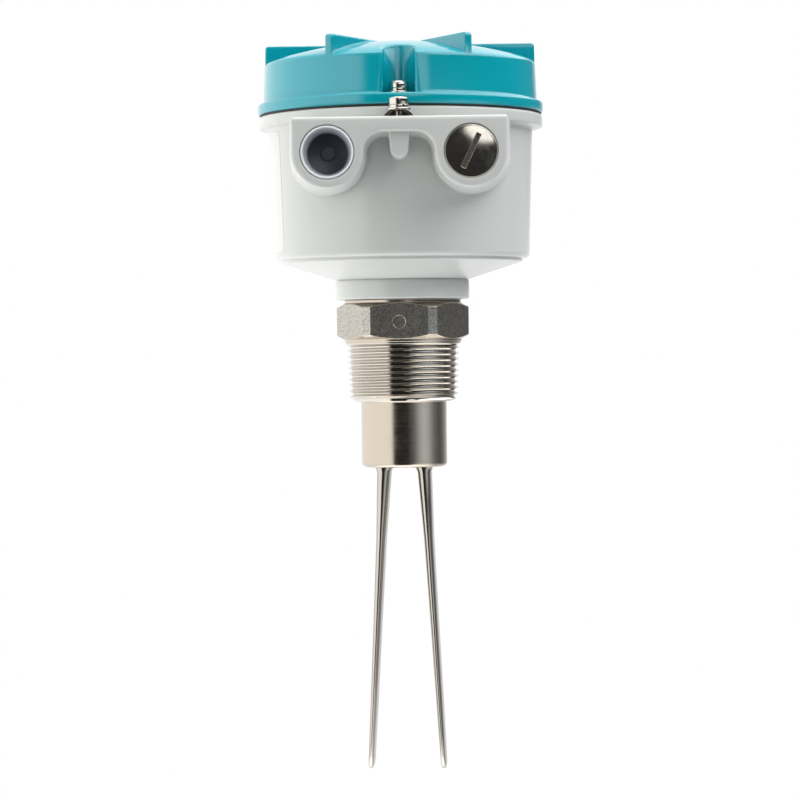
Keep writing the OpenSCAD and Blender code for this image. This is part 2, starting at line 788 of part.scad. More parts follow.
// Profile of the thread: rings of the true pitch, depth and taper between relief and tube
function thread_r(z) = thread_d / 2 + (z + relief_h) / thread_taper / 2;
thread_turns = floor((thread_len - relief_h - thread_depth) / thread_pitch);
thread_crest = thread_pitch * 0.16;
function thread_ring(i) = let (top = -relief_h - i * thread_pitch, mid = top - thread_pitch / 2)
    [[thread_r(top) - thread_depth, top - thread_crest / 2],
        [thread_r(mid), mid + thread_crest / 2],
        [thread_r(mid), mid - thread_crest / 2],
        [thread_r(top - thread_pitch) - thread_depth, top - thread_pitch + thread_crest / 2]];

// Turned outside below the hexagon, from the relief down to the tube's end
module turned_shank() {
    thread_points = [for (i = [0 : thread_turns - 1]) each thread_ring(i)];
    root_end = thread_r(-thread_len) - thread_depth;
    rotate_extrude($fn = fine_fn) polygon(concat(
        [[0, over], [relief_d / 2, over], [relief_d / 2, -relief_h / 2],
            [thread_d / 2 - thread_depth, -relief_h]], thread_points,
        [[root_end, -thread_len], [tube_d / 2, -thread_len]],
        arc(tube_d / 2 - tube_round, tube_z + tube_round, tube_round, 0, -90),
        [[0, tube_z]]));
}

// Hexagon with both faces turned to a chamfer
module hexagon() {
    point_d = hex_across_flats / cos(30);
    corner_r = (point_d - hex_corner_cut) / 2;
    foot_r = hex_across_flats / 2 - hex_foot_in;
    low_chamfer = (corner_r - foot_r) * tan(hex_chamfer_deg);
    top_chamfer = (corner_r - collar_r) * tan(hex_chamfer_deg);
    intersection() {
        cylinder(d = point_d, h = hex_h, $fn = 6);
        rotate_extrude($fn = fine_fn) polygon([[0, 0], [foot_r, 0], [foot_r, hex_foot_h],
            [corner_r, hex_foot_h + low_chamfer], [corner_r, hex_h - top_chamfer], [collar_r, hex_h],
            [0, hex_h]]);
    }
}

// Spigot with grooves for the O-ring and the snap ring
module spigot() {
    groove_r = o_ring_r - o_ring_t / 2;
    groove_h = o_ring_t / 2 + o_ring_side_play;
    rotate_extrude($fn = fine_fn) polygon([[0, hex_h - over], [collar_r, hex_h - over],
        [collar_r, collar_z], [spigot_r, collar_z], [spigot_r, o_ring_mid_z - groove_h],
        [groove_r, o_ring_mid_z - groove_h], [groove_r, o_ring_mid_z + groove_h],
        [spigot_r, o_ring_mid_z + groove_h], [spigot_r, snap_z], [snap_groove_r, snap_z],
        [snap_groove_r, snap_z + snap_t], [spigot_r, snap_z + snap_t],
        [spigot_r - snap_groove / 2, spigot_top_z], [0, spigot_top_z]]);
}

module process_connection() {
    color([0.72, 0.7, 0.67]) rotate(probe_turn) difference() {
        union() {
            turned_shank();
            hexagon();
            spigot();
        }
        translate([0, 0, tube_z - over]) cylinder(r = membrane_r + weld_play, h = membrane_t + over,
            $fn = fine_fn);
        translate([0, 0, tube_z]) cylinder(r = drive_r, h = drive_top_z - tube_z, $fn = fine_fn);
        translate([0, 0, tube_z]) cylinder(d = lead_bore_d, h = spigot_top_z - tube_z + over);
        along_y(0, hex_h / 2, -hex_across_flats / 2 - over, hex_mark_d / 2,
            -hex_across_flats / 2 + hex_mark_depth, hex_mark_d / 2);
    }
}

// Distance of a blade's middle from the axis at a height
function blade_x(z) = membrane_r - fork_root_in + fork_splay * (tube_z - z) / fork_len;
shank_z = tube_z - blade_shank_len;
leaf_t = 0.05;

// Thin level section of a blade with round front and back edges
module blade_section(z, t, w) {
    translate([blade_x(z), 0, z]) for (side = [-1, 1]) translate([0, side * (w - t) / 2, 0])
        cylinder(d = t, h = leaf_t, center = true, $fn = blade_fn);
}

// One blade: flared root, thick shank, long thin leaf with rounded tip corners
module blade() {
    root_w = blade_w - root_narrow;
    tip_curve = blade_corner * 0.3;
    tip_end_t = blade_tip_t * 0.8;
    intersection() {
        hull() {
            blade_section(tube_z + membrane_t / 4, blade_root_t + root_flare, root_w);
            blade_section(tube_z - root_flare, blade_root_t, root_w);
        }
        translate([0, 0, tube_z - 2 * root_flare]) cylinder(r = membrane_r - weld_play,
            h = membrane_t / 2 + 2 * root_flare);
    }
    hull() {
        blade_section(tube_z - root_flare, blade_root_t, root_w);
        blade_section(shank_z, blade_shank_t, blade_w);
    }
    hull() {
        blade_section(shank_z, blade_shank_t, blade_w);
        blade_section(tip_z + blade_corner, blade_tip_t, blade_w);
        blade_section(tip_z + tip_curve, blade_tip_t, blade_w - 2 * tip_curve);
        blade_section(tip_z + leaf_t / 2, tip_end_t, blade_w - 2 * blade_corner);
    }
}

module vibrating_fork() {
    color([0.7, 0.68, 0.64]) rotate(probe_turn) {
        translate([0, 0, tube_z]) cylinder(r = membrane_r, h = membrane_t, $fn = fine_fn);
        for (side = [0, 1]) mirror([side, 0, 0]) blade();
    }
}

module swivel_o_ring() {
    color([0.1, 0.1, 0.1]) translate([0, 0, o_ring_mid_z]) rotate_extrude($fn = fine_fn)
        translate([o_ring_r, 0]) circle(d = o_ring_t);
}

module swivel_snap_ring() {
    ring_play = 0.1;
    color([0.4, 0.4, 0.4]) difference() {
        ring(snap_r, snap_groove_r + ring_play, snap_z, snap_t);
        translate([0, -snap_gap / 2, snap_z - over]) cube([2 * snap_r, snap_gap, snap_t + 2 * over]);
    }
}

module piezo_discs() {
    color([0.75, 0.7, 0.55]) for (i = [0 : piezo_count - 1])
        ring(stack_d / 2, bolt_d / 2 + bolt_play, stack_z + contact_t + i * stack_step, piezo_t);
}

module contact_plates() {
    color([0.8, 0.6, 0.3]) for (i = [0 : piezo_count])
        ring(stack_d / 2, bolt_d / 2 + bolt_play, stack_z + i * stack_step, contact_t);
}

module insulating_washers() {
    color([0.9, 0.9, 0.85]) for (z = [membrane_top_z, stack_top_z])
        ring(stack_d / 2, bolt_d / 2 + bolt_play, z, insulator_t);
}

module clamp_bolt() {
    color([0.7, 0.7, 0.7]) translate([0, 0, membrane_top_z])
        cylinder(d = bolt_d, h = bolt_top_z - membrane_top_z);
}

module clamp_nut() {
    color([0.7, 0.7, 0.7]) translate([0, 0, nut_z]) difference() {
        cylinder(d = nut_across_flats / cos(30), h = nut_h, $fn = 6);
        translate([0, 0, -over]) cylinder(r = bolt_d / 2 + weld_play, h = nut_h + 2 * over);
    }
}

module sensor_lead() {
    color([0.15, 0.15, 0.15]) translate([0, 0, bolt_top_z]) cylinder(d = lead_d, h = lead_top_z - bolt_top_z);
}

module electronics_tray() {
    inner_r = tray_r - tray_wall;
    ledge_r = inner_r - board_ledge;
    color([0.2, 0.22, 0.25]) difference() {
        union() {
            ring(tray_r, ledge_r, tray_base_z, board_base_z - tray_base_z);
            ring(tray_r, inner_r, board_base_z - over, board_t + over);
            translate([0, 0, tray_base_z]) cylinder(r = tray_r, h = tray_wall, $fn = fine_fn);
            at_module_screws(tray_base_z) cylinder(r = module_pillar_r, h = board_base_z - tray_base_z);
            translate([0, 0, tray_base_z - lead_socket_len]) cylinder(r = lead_socket_r,
                h = lead_socket_len + over);
        }
        at_module_screws(tray_base_z - over) cylinder(r = module_screw_d / 2 + screw_play,
            h = tray_h + 2 * over);
        translate([0, 0, tray_base_z - lead_socket_len - over]) cylinder(r = lead_d / 2 + lead_play,
            h = lead_socket_len + over);
    }
}

module circuit_board() {
    color([0.1, 0.4, 0.2]) difference() {
        translate([0, 0, board_base_z]) cylinder(r = board_r, h = board_t, $fn = fine_fn);
        at_module_screws(board_base_z - over) cylinder(r = module_screw_d / 2 + screw_play,
            h = board_t + 2 * over);
    }
}

module module_screws() {
    head_w = 2 * module_screw_d;
    head_height = 0.8 * module_screw_d;
    color([0.75, 0.75, 0.73]) at_module_screws(board_z)
        pan_screw(module_screw_d, module_screw_len, head_w, head_height);
}

// Places its children at each pole of the terminal block
module at_poles() {
    for (i = [0 : pole_count - 1]) translate([(i - (pole_count - 1) / 2) * pole_w, 0, 0]) children();
}

module terminal_block() {
    wall = (pole_w - wire_hole) / 2;
    wire_side_h = block_h * 0.6;
    back_side_h = block_h * 0.75;
    color([0.15, 0.5, 0.3]) translate([block_place.x, block_place.y, board_z]) difference() {
        translate([-pole_count * pole_w / 2, 0, 0]) rotate([90, 0, 90]) linear_extrude(pole_count * pole_w)
            polygon([[-block_depth / 2, 0], [block_depth / 2, 0], [block_depth / 2, back_side_h],
                [block_depth / 4, block_h], [-block_depth / 4, block_h], [-block_depth / 2, wire_side_h]]);
        at_poles() {
            translate([-wire_hole / 2, -block_depth, wall]) cube([wire_hole, block_depth, wire_hole]);
            translate([0, 0, block_h - 2 * pole_screw_sink]) cylinder(r = pole_screw_d / 2 + screw_play,
                h = 2 * pole_screw_sink + over);
        }
    }
}

module terminal_screws() {
    slot_floor = pole_screw_sink * 0.6;
    screw_z = board_z + block_h - 2 * pole_screw_sink;
    color([0.75, 0.75, 0.72]) translate([block_place.x, block_place.y, screw_z])
        at_poles() difference() {
            cylinder(d = pole_screw_d, h = pole_screw_sink);
            translate([-pole_screw_d, -recess_w / 4, slot_floor])
                cube([2 * pole_screw_d, recess_w / 2, pole_screw_sink]);
        }
}

module relay() {
    color([0.12, 0.12, 0.14]) translate([relay_place.x - relay_len / 2, relay_place.y - relay_w / 2, board_z])
        cube([relay_len, relay_w, relay_h]);
}

module status_led() {
    led_r = led_d / 2;
    flange = 0.5;
    color([0.2, 0.8, 0.3]) translate([led_place.x, led_place.y, board_z]) rotate_extrude() polygon(concat(
        [[0, 0], [led_r + flange, 0], [led_r + flange, 2 * flange], [led_r, 2 * flange]],
        arc(0, led_h - led_r, led_r, 0, 90)));
}

module mode_switch() {
    window = slider_travel + slider_side + 2 * board_play;
    color([0.2, 0.3, 0.7]) translate([switch_place.x, switch_place.y, board_z]) difference() {
        translate([-switch_len / 2, -switch_w / 2, 0]) cube([switch_len, switch_w, switch_h]);
        translate([-window / 2, -slider_side / 2 - board_play, switch_h / 2])
            cube([window, slider_side + 2 * board_play, switch_h]);
    }
}

module mode_slider() {
    color([0.95, 0.95, 0.95]) translate([switch_place.x - slider_travel / 2 - slider_side / 2,
        switch_place.y - slider_side / 2, board_z + switch_h / 2])
        cube([slider_side, slider_side, switch_h / 2 + slider_h]);
}

module sensitivity_trimmer() {
    color([0.15, 0.35, 0.75]) translate([trimmer_place.x, trimmer_place.y, board_z]) difference() {
        translate([-trimmer_side / 2, -trimmer_side / 2, 0]) cube([trimmer_side, trimmer_side, trimmer_h]);
        translate([0, 0, trimmer_h / 2]) cylinder(r = dial_d / 2 + board_play, h = trimmer_h);
    }
}

module trimmer_dial() {
    color([0.95, 0.93, 0.85]) translate([trimmer_place.x, trimmer_place.y, board_z + trimmer_h / 2])
        difference() {
            cylinder(d = dial_d, h = trimmer_h / 2 + dial_h);
            translate([-dial_d, -recess_w / 2, trimmer_h / 2 + dial_h - recess_w])
                cube([2 * dial_d, recess_w, recess_w + over]);
        }
}

lid();
lid_gasket();
lid_screws();
lid_lock_washers();
lid_flat_washers();
housing();
earth_screw();
earth_lock_washer();
earth_flat_washer();
earth_clamp();
blanking_plug();
transport_cap();
process_connection();
vibrating_fork();
swivel_o_ring();
swivel_snap_ring();
piezo_discs();
contact_plates();
insulating_washers();
clamp_bolt();
clamp_nut();
sensor_lead();
electronics_tray();
circuit_board();
module_screws();
terminal_block();
terminal_screws();
relay();
status_led();
mode_switch();
mode_slider();
sensitivity_trimmer();
trimmer_dial();
inner_earth_screw();
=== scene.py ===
import math

import bpy
from mathutils import Matrix, Vector


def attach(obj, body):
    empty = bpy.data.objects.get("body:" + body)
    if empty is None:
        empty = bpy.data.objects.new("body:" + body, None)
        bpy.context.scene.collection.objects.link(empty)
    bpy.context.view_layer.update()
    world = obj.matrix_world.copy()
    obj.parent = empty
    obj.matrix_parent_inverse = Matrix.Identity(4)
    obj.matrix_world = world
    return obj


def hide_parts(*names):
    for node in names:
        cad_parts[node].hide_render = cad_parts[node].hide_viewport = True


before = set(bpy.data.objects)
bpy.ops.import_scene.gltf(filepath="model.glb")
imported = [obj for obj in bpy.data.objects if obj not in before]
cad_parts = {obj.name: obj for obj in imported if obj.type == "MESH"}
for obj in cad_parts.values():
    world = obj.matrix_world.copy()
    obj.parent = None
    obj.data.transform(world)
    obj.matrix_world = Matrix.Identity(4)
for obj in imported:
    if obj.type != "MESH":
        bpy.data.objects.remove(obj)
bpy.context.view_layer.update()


# Studio: a pale floor under the fork's tips and a white surround with a dark room behind the camera.
# The surround gives the steel its bright left side, its dark front and the soft grey band on the right.
scene = bpy.context.scene
scene.view_settings.view_transform = "Standard"
floor_height = -0.1952
floor_radius = 0.37

bpy.ops.object.select_all(action="DESELECT")
bpy.ops.mesh.primitive_circle_add(vertices=96, radius=floor_radius, fill_type="NGON", location=(0, 0, 0))
floor = bpy.context.object
floor.name = "studio_floor"
bpy.ops.object.mode_set(mode="EDIT")
bpy.ops.transform.translate(value=(0, 0, floor_height))
bpy.ops.object.mode_set(mode="OBJECT")


def new_material(name):
    """A node material, its node tree and its shader."""
    material = bpy.data.materials.new(name)
    material.use_nodes = True
    return material, material.node_tree, material.node_tree.nodes["Principled BSDF"]


def node(tree, kind, **values):
    """One shader node with its own settings."""
    made = tree.nodes.new(kind)
    for key, value in values.items():
        setattr(made, key, value)
    return made


def connect(tree, socket, value):
    """Links a socket to another node's output, or sets it to a number, a vector or a colour."""
    if isinstance(value, bpy.types.NodeSocket):
        tree.links.new(value, socket)
    elif socket.type == "RGBA":
        socket.default_value = (*value, 1)
    else:
        socket.default_value = value


def feed(tree, made, **values):
    """Connects or sets a node's inputs, by their names."""
    for name, value in values.items():
        connect(tree, made.inputs[name.replace("_", " ")], value)
    return made


def calculate(tree, operation, *values):
    """A math node over numbers or other nodes' outputs."""
    made = node(tree, "ShaderNodeMath", operation=operation)
    for socket, value in zip(made.inputs, values):
        connect(tree, socket, value)
    return made.outputs[0]


def length(tree, vector):
    """Length of a vector."""
    made = node(tree, "ShaderNodeVectorMath", operation="LENGTH")
    connect(tree, made.inputs[0], vector)
    return made.outputs["Value"]


def mapped(tree, vector, location=(0, 0, 0), scale=(1, 1, 1), **values):
    """Coordinates moved and stretched along the axes."""
    made = node(tree, "ShaderNodeMapping", **values)
    return feed(tree, made, Vector=vector, Location=location, Scale=scale).outputs["Vector"]


def spread(tree, value, span=(0, 1), onto=(0, 1), soft=False):
    """A value mapped from one span onto another, with soft ends if wanted."""
    made = node(tree, "ShaderNodeMapRange", interpolation_type="SMOOTHSTEP" if soft else "LINEAR")
    feed(tree, made, Value=value, From_Min=span[0], From_Max=span[1], To_Min=onto[0], To_Max=onto[1])
    return made.outputs["Result"]


def blend(tree, share, first, second):
    """One colour over another, by a share."""
    made = node(tree, "ShaderNodeMix", data_type="RGBA")
    return feed(tree, made, Factor=share, A=first, B=second).outputs["Result"]


def colour_ramp(tree, share, stops):
    """A colour by a share, through stops of position and colour."""
    made = node(tree, "ShaderNodeValToRGB")
    for position, colour in stops[1:-1]:
        made.color_ramp.elements.new(position)
    for stop, (position, colour) in zip(made.color_ramp.elements, stops):
        stop.position = position
        stop.color = (*colour, 1)
    return feed(tree, made, Fac=share).outputs["Color"]


def find_bearing(tree, direction):
    """A direction's bearing from the camera, its share of a full turn, and its three parts."""
    parts = feed(tree, node(tree, "ShaderNodeSeparateXYZ"), Vector=direction).outputs
    bearing = calculate(tree, "ARCTAN2", parts["X"], calculate(tree, "MULTIPLY", parts["Y"], -1))
    return bearing, spread(tree, bearing, (-math.pi, math.pi)), parts


def by_bearing(tree, turn_share, stops):
    """Colours by bearing from the camera, in degrees to its left and right."""
    return colour_ramp(tree, turn_share, [((turn + 180) / 360, colour) for turn, colour in stops])


def grey(level):
    """A colour without a tint."""
    return level, level, level


def greys(stops):
    """Stops of bearing and level as stops of bearing and grey."""
    return [(turn, grey(level)) for turn, level in stops]


# The floor's paper takes the shadow under the tips and glows white towards its edge
paper, tree, shader = new_material("studio_floor_paper")
coordinate = node(tree, "ShaderNodeTexCoord").outputs["Object"]
from_axis = length(tree, mapped(tree, coordinate, scale=(1, 1, 0)))
outwards = spread(tree, from_axis, (0.04, 0.22), soft=True)
paper_tone = colour_ramp(tree, outwards, [(0, grey(0.30)), (1, grey(0))])
paper_glow = colour_ramp(tree, outwards, [(0, grey(0.76)), (1, grey(1))])
# The object gets the light that the paper throws back, by the bearing from the camera in degrees
turn_share = find_bearing(tree, coordinate)[1]
near_light = by_bearing(tree, turn_share, greys([
    (-180, 1.2), (-110, 2.1), (-36, 2.1), (-22, 2.2), (14, 2.2), (34, 2.2), (80, 2.2), (96, 1.4), (140, 1.2),
    (180, 1.2)]))
far_light = by_bearing(tree, turn_share, greys([
    (-180, 1.1), (-110, 1.45), (-36, 1.45), (-24, 0.04), (14, 0.04), (34, 1.4), (80, 1.4), (96, 0.6),
    (140, 0.8), (180, 1.1)]))
thrown = blend(tree, spread(tree, from_axis, (0.075, 0.19), soft=True), near_light, far_light)
ray = node(tree, "ShaderNodeLightPath").outputs
glow = blend(tree, ray["Is Camera Ray"], thrown, paper_glow)
feed(tree, shader, Base_Color=paper_tone, Roughness=0.9, Specular_IOR_Level=0, Emission_Color=glow,
     Emission_Strength=1)
floor.data.materials.append(paper)

world = bpy.data.worlds.new("studio")
scene.world = world
world.use_nodes = True
sky = world.node_tree
direction = node(sky, "ShaderNodeTexCoord").outputs["Generated"]
bearing, turn_share, parts = find_bearing(sky, direction)

# At the object's own height: white on the left and behind, a dark room in front, a dark card on the right
white_left, white_back = (1.60, 1.59, 1.56), grey(1.05)
dark_front, dark_right = (0.028, 0.029, 0.030), grey(0.125)
level_light = by_bearing(sky, turn_share, [
    (-180, white_back), (-120, white_left), (-34, white_left), (-27, dark_front), (80, dark_front),
    (150, dark_right), (172, white_back), (180, white_back)])
# Below the object's height a grey card stands on the right
card, card_left, card_right = (0.82, 0.90, 0.96), (0.22, 0.24, 0.25), (0.27, 0.29, 0.31)
low_light = by_bearing(sky, turn_share, [
    (-180, white_back), (-120, white_left), (-34, white_left), (-27, dark_front), (10, dark_front),
    (28, card_left), (50, card), (64, card), (88, card_right), (110, dark_right), (127, grey(0.26)),
    (141, grey(0.48)), (172, white_back), (180, white_back)])
# Higher up the room is white on both sides and dull in front
high_light = by_bearing(sky, turn_share, greys([
    (-180, 1.0), (-80, 1.5), (-50, 1.2), (-30, 0.25), (14, 0.25), (36, 3.0), (78, 3.0), (94, 3.2), (130, 3.2),
    (150, 2.4), (180, 1.0)]))


def lay_above(low, high, room, light):
    """A light laid over the room above a height of the view direction, with a soft edge."""
    return blend(sky, spread(sky, parts["Z"], (low, high), soft=True), room, light)


room = lay_above(-0.01, 0.02, low_light, level_light)
room = lay_above(0.26, 0.42, room, high_light)
room = lay_above(0.84, 0.95, room, grey(3.0))

# Softbox: an oval light above the camera on its right, which the blanking plug mirrors
softbox_bearing, softbox_height = math.radians(11.5), math.radians(23.8)
softbox_wide, softbox_tall = math.radians(16), math.radians(15)
height_angle = calculate(sky, "ARCSINE", parts["Z"])
view_angles = feed(sky, node(sky, "ShaderNodeCombineXYZ"), X=bearing, Y=height_angle).outputs["Vector"]
from_softbox = length(sky, mapped(sky, view_angles, (softbox_bearing, softbox_height, 0),
                                  (softbox_wide, softbox_tall, 1), vector_type="TEXTURE"))
softbox = spread(sky, from_softbox, (1.08, 0.92), soft=True)
room = blend(sky, softbox, room, grey(1.4))

# The white background is what the camera sees, and mirrors and clear things show it behind the object
ray = node(sky, "ShaderNodeLightPath").outputs
mirrored = calculate(sky, "MAXIMUM", ray["Is Glossy Ray"], ray["Is Transmission Ray"])
behind = spread(sky, parts["Y"], (0.95, 0.995), soft=True)
mirrored_behind = calculate(sky, "MULTIPLY", mirrored, behind)
background_share = calculate(sky, "MAXIMUM", ray["Is Camera Ray"], mirrored_behind)
feed(sky, sky.nodes["Background"], Color=blend(sky, background_share, room, grey(1)))

# Camera: a long lens at the height of the thread, rolled a little to the right
look_at = Vector((-0.0015, 0, -0.0226))
eye = Vector((0.0112, -1.122, -0.0033))
lens = 130.5
roll = math.radians(0.69)
ahead = (look_at - eye).normalized()
right = ahead.cross(Vector((0, 0, 1))).normalized()
up = right.cross(ahead)
rolled_up = up * math.cos(roll) + right * math.sin(roll)
rolled_right = ahead.cross(rolled_up)
bpy.ops.object.select_all(action="DESELECT")
bpy.ops.object.camera_add()
camera = bpy.context.object
camera.data.lens = lens
camera.data.sensor_width = 36
camera.data.clip_start = 0.01
camera.matrix_world = Matrix((
    (rolled_right.x, rolled_up.x, -ahead.x, eye.x),
    (rolled_right.y, rolled_up.y, -ahead.y, eye.y),
    (rolled_right.z, rolled_up.z, -ahead.z, eye.z),
    (0, 0, 0, 1)))
scene.camera = camera


# Process connection: hexagon, swivel spigot, taper pipe thread and tube, turned from one stainless bar.
# The hexagon's flats are blasted and everything below is bright; the thread winds right-handed.
mm = 0.001
merge_gap = 0.000002
probe_turn = math.radians(-3)


def arc(r, z, radius, start, end, steps=6):
    """Points of a rounded corner in an outline, by angles in degrees."""
    points = []
    for i in range(steps + 1):
        a = math.radians(start + (end - start) * i / steps)
        points.append((r + radius * math.cos(a), z + radius * math.sin(a)))
    return points


def draw_outline(name, points):
    """A chain of edges in the XZ plane through points in millimetres, extruded one from the next."""
    bpy.ops.object.select_all(action="DESELECT")
    bpy.ops.mesh.primitive_plane_add(size=mm, location=(0, 0, 0))
    piece = bpy.context.object
    piece.name = name
    bpy.ops.object.mode_set(mode="EDIT")
    bpy.ops.mesh.merge(type="CENTER")
    bpy.ops.transform.translate(value=(points[0][0] * mm, 0, points[0][1] * mm))
    for (r, z), (next_r, next_z) in zip(points, points[1:]):
        step = ((next_r - r) * mm, 0, (next_z - z) * mm)
        bpy.ops.mesh.extrude_region_move(TRANSFORM_OT_translate={"value": step})
    bpy.ops.mesh.select_all(action="SELECT")
    return piece


def close_up():
    """Merges doubles and turns the faces outwards in edit mode, then leaves it."""
    bpy.ops.mesh.select_all(action="SELECT")
    bpy.ops.mesh.remove_doubles(threshold=merge_gap)
    bpy.ops.mesh.normals_make_consistent(inside=False)
    bpy.ops.object.mode_set(mode="OBJECT")


def lathe(name, points, steps=160):
    """An outline of radius and height in millimetres, spun about the axis."""
    piece = draw_outline(name, points)
    bpy.ops.mesh.spin(steps=steps, angle=2 * math.pi, center=(0, 0, 0), axis=(0, 0, 1))
    close_up()
    return piece


def combine(piece, tool, operation):
    """Cuts, joins or intersects a piece with a tool, which is used up."""
    modifier = piece.modifiers.new("combine", "BOOLEAN")
    modifier.object = tool
    modifier.operation = operation
    modifier.solver = "EXACT"
    bpy.context.view_layer.objects.active = piece
    bpy.ops.object.modifier_apply(modifier=modifier.name)
    bpy.data.objects.remove(tool)


def smooth(piece, degrees=32):
    """Soft shading everywhere except across sharp edges."""
    bpy.ops.object.select_all(action="DESELECT")
    piece.select_set(True)
    bpy.context.view_layer.objects.active = piece
    bpy.ops.object.shade_smooth_by_angle(angle=math.radians(degrees))


def join(piece, others):
    """Makes the others part of the piece."""
    bpy.ops.object.select_all(action="DESELECT")
    for other in others:
        other.select_set(True)
    piece.select_set(True)
    bpy.context.view_layer.objects.active = piece
    bpy.ops.object.join()


def place(piece, turn=0.0, move=(0, 0, 0), axis="Z"):
    """Turns a piece about an axis through the origin and moves it, in its mesh."""
    piece.data.transform(Matrix.Translation(Vector(move) * mm) @ Matrix.Rotation(turn, 4, axis))


def round_bar(name, radius, low, high, x=0.0, y=0.0, sides=48):
    """A straight upright bar between two heights, in millimetres."""
    bpy.ops.object.select_all(action="DESELECT")
    bpy.ops.mesh.primitive_cylinder_add(vertices=sides, radius=radius * mm, depth=(high - low) * mm,
                                        location=(0, 0, 0))
    piece = bpy.context.object
    piece.name = name
    place(piece, move=(x, y, (low + high) / 2))
    return piece


def chamfer(width, segments):
    """Bevels every edge of the piece that was just made."""
    bpy.ops.object.mode_set(mode="EDIT")
    bpy.ops.mesh.bevel(offset=width * mm, segments=segments, affect="EDGES")
    bpy.ops.object.mode_set(mode="OBJECT")


# Hexagon: a six-sided bar cut to a turned form with chamfers, and a punched round mark in front
hex_flat_r, hex_tall = 23.0, 14.9
hexagon = round_bar("process_hexagon", hex_flat_r / math.cos(math.radians(30)), -hex_tall / 2, hex_tall / 2,
                    sides=6)
chamfer(0.1, 1)
place(hexagon, turn=math.radians(30), move=(0, 0, hex_tall / 2))
turned_form = lathe("turned_form", [(0, 0)] + arc(22.5, 0.2, 0.2, -90, 0, 3) + [(22.7, 0.9), (25.3, 2.4)]
                    + arc(25.2, 2.72, 0.3, -30, 0, 3) + arc(25.2, 12.95, 0.3, 0, 30, 3)
                    + [(25.3, 13.28), (22.4, hex_tall), (0, hex_tall)])
combine(hexagon, turned_form, "INTERSECT")
punch = round_bar("round_mark", 2.5, -0.4, 0.4)
chamfer(0.15, 2)
place(punch, turn=math.radians(90), axis="X")
place(punch, move=(0, -hex_flat_r, hex_tall / 2))
combine(hexagon, punch, "DIFFERENCE")
place(hexagon, turn=probe_turn)
smooth(hexagon, 20)

# Bar: spigot with two grooves above, relief, thread core and tube below, bored for the drive
shank_outline = (
    [(8, 31.85), (18.6, 31.85), (19.2, 31.2), (19.2, 30.65), (18, 30.65), (18, 29.15), (19.2, 29.15),
     (19.2, 22.75), (16.75, 22.75), (16.75, 19.75), (19.2, 19.75), (19.2, 16.25)]
    + arc(22.2, 15.95, 0.3, 90, 0, 4) + [(22.5, 14.4), (22.3, 14.4), (22.3, 0.5)]
    + arc(22.0, -0.6, 0.3, 0, -45, 3) + [(20.4, -1.75), (19.6, -22.2)]
    + arc(18.6, -22.5, 0.5, 0, -90, 4) + arc(16.9, -23.4, 0.4, 90, 180, 4)
    + arc(14.7, -46.5, 1.8, 0, -90, 10) + [(14.65, -48.3), (14.65, -44.8), (12.8, -44.8), (12.8, -20.8),
     (8, -20.8), (8, 31.85)])
shank = lathe("process_connection_turned", shank_outline)
smooth(shank, 28)

# Thread: one turn's outline wound up by a screw, tapered 1 in 16, cut level at both ends
thread_pitch = 2.209
thread_turns = 12
thread_start, thread_low, thread_high = -25.6, -22.6, -0.9
gauge_z, taper = -1.7, 1 / 32
runout_r, runout_z, runout_slope = 19.3, -23.0, 1.3
crest_r, root_r = 21.7, 20.3
thread_rise = [(root_r, 0), (root_r, 0.16), (crest_r - 0.12, 0.95), (crest_r, 1.03), (crest_r, 1.18),
               (crest_r - 0.12, 1.26), (root_r, 2.05), (root_r, thread_pitch)]
thread = draw_outline("process_thread", thread_rise)
close_up()
winding = thread.modifiers.new("winding", "SCREW")
winding.axis = "Z"
winding.angle = 2 * math.pi
winding.screw_offset = thread_pitch * mm
winding.iterations = thread_turns
winding.steps = 96
winding.render_steps = 96
winding.use_merge_vertices = True
winding.merge_threshold = merge_gap
bpy.context.view_layer.objects.active = thread
bpy.ops.object.modifier_apply(modifier=winding.name)
place(thread, move=(0, 0, thread_start))
for point in thread.data.vertices:
    flat = math.hypot(point.co.x, point.co.y)
    height = point.co.z / mm
    wanted = flat / mm + (height - gauge_z) * taper
    wanted = min(wanted, runout_r + max(0.0, height - runout_z) * runout_slope)
    point.co.x *= wanted * mm / flat
    point.co.y *= wanted * mm / flat
bpy.ops.object.select_all(action="DESELECT")
thread.select_set(True)
bpy.context.view_layer.objects.active = thread
bpy.ops.object.mode_set(mode="EDIT")
for height, keep_above in ((thread_low, True), (thread_high, False)):
    bpy.ops.mesh.select_all(action="SELECT")
    bpy.ops.mesh.bisect(plane_co=(0, 0, height * mm), plane_no=(0, 0, 1), use_fill=True,
                        clear_inner=keep_above, clear_outer=not keep_above)
close_up()
smooth(thread, 40)

join(shank, [thread])
place(shank, turn=probe_turn)
join(hexagon, [shank])
process_connection = hexagon
process_connection.name = "process_connection_steel"


def start_group(name, inputs, outputs):
    """A node group with named values, its first sockets, its last node and object coordinates."""
    group = bpy.data.node_groups.new(name, "ShaderNodeTree")
    for socket, usual in inputs:
        entry = group.interface.new_socket(socket, in_out="INPUT", socket_type="NodeSocketFloat")
        entry.default_value = usual
    for socket in outputs:
        group.interface.new_socket(socket, in_out="OUTPUT", socket_type="NodeSocketFloat")
    first = node(group, "NodeGroupInput").outputs
    last = node(group, "NodeGroupOutput")
    return group, first, last, node(group, "ShaderNodeTexCoord").outputs["Object"]


def noise(tree, vector, scale, detail, roughness=0.5):
    """A noise over coordinates."""
    made = node(tree, "ShaderNodeTexNoise")
    return feed(tree, made, Vector=vector, Scale=scale, Detail=detail, Roughness=roughness).outputs["Fac"]


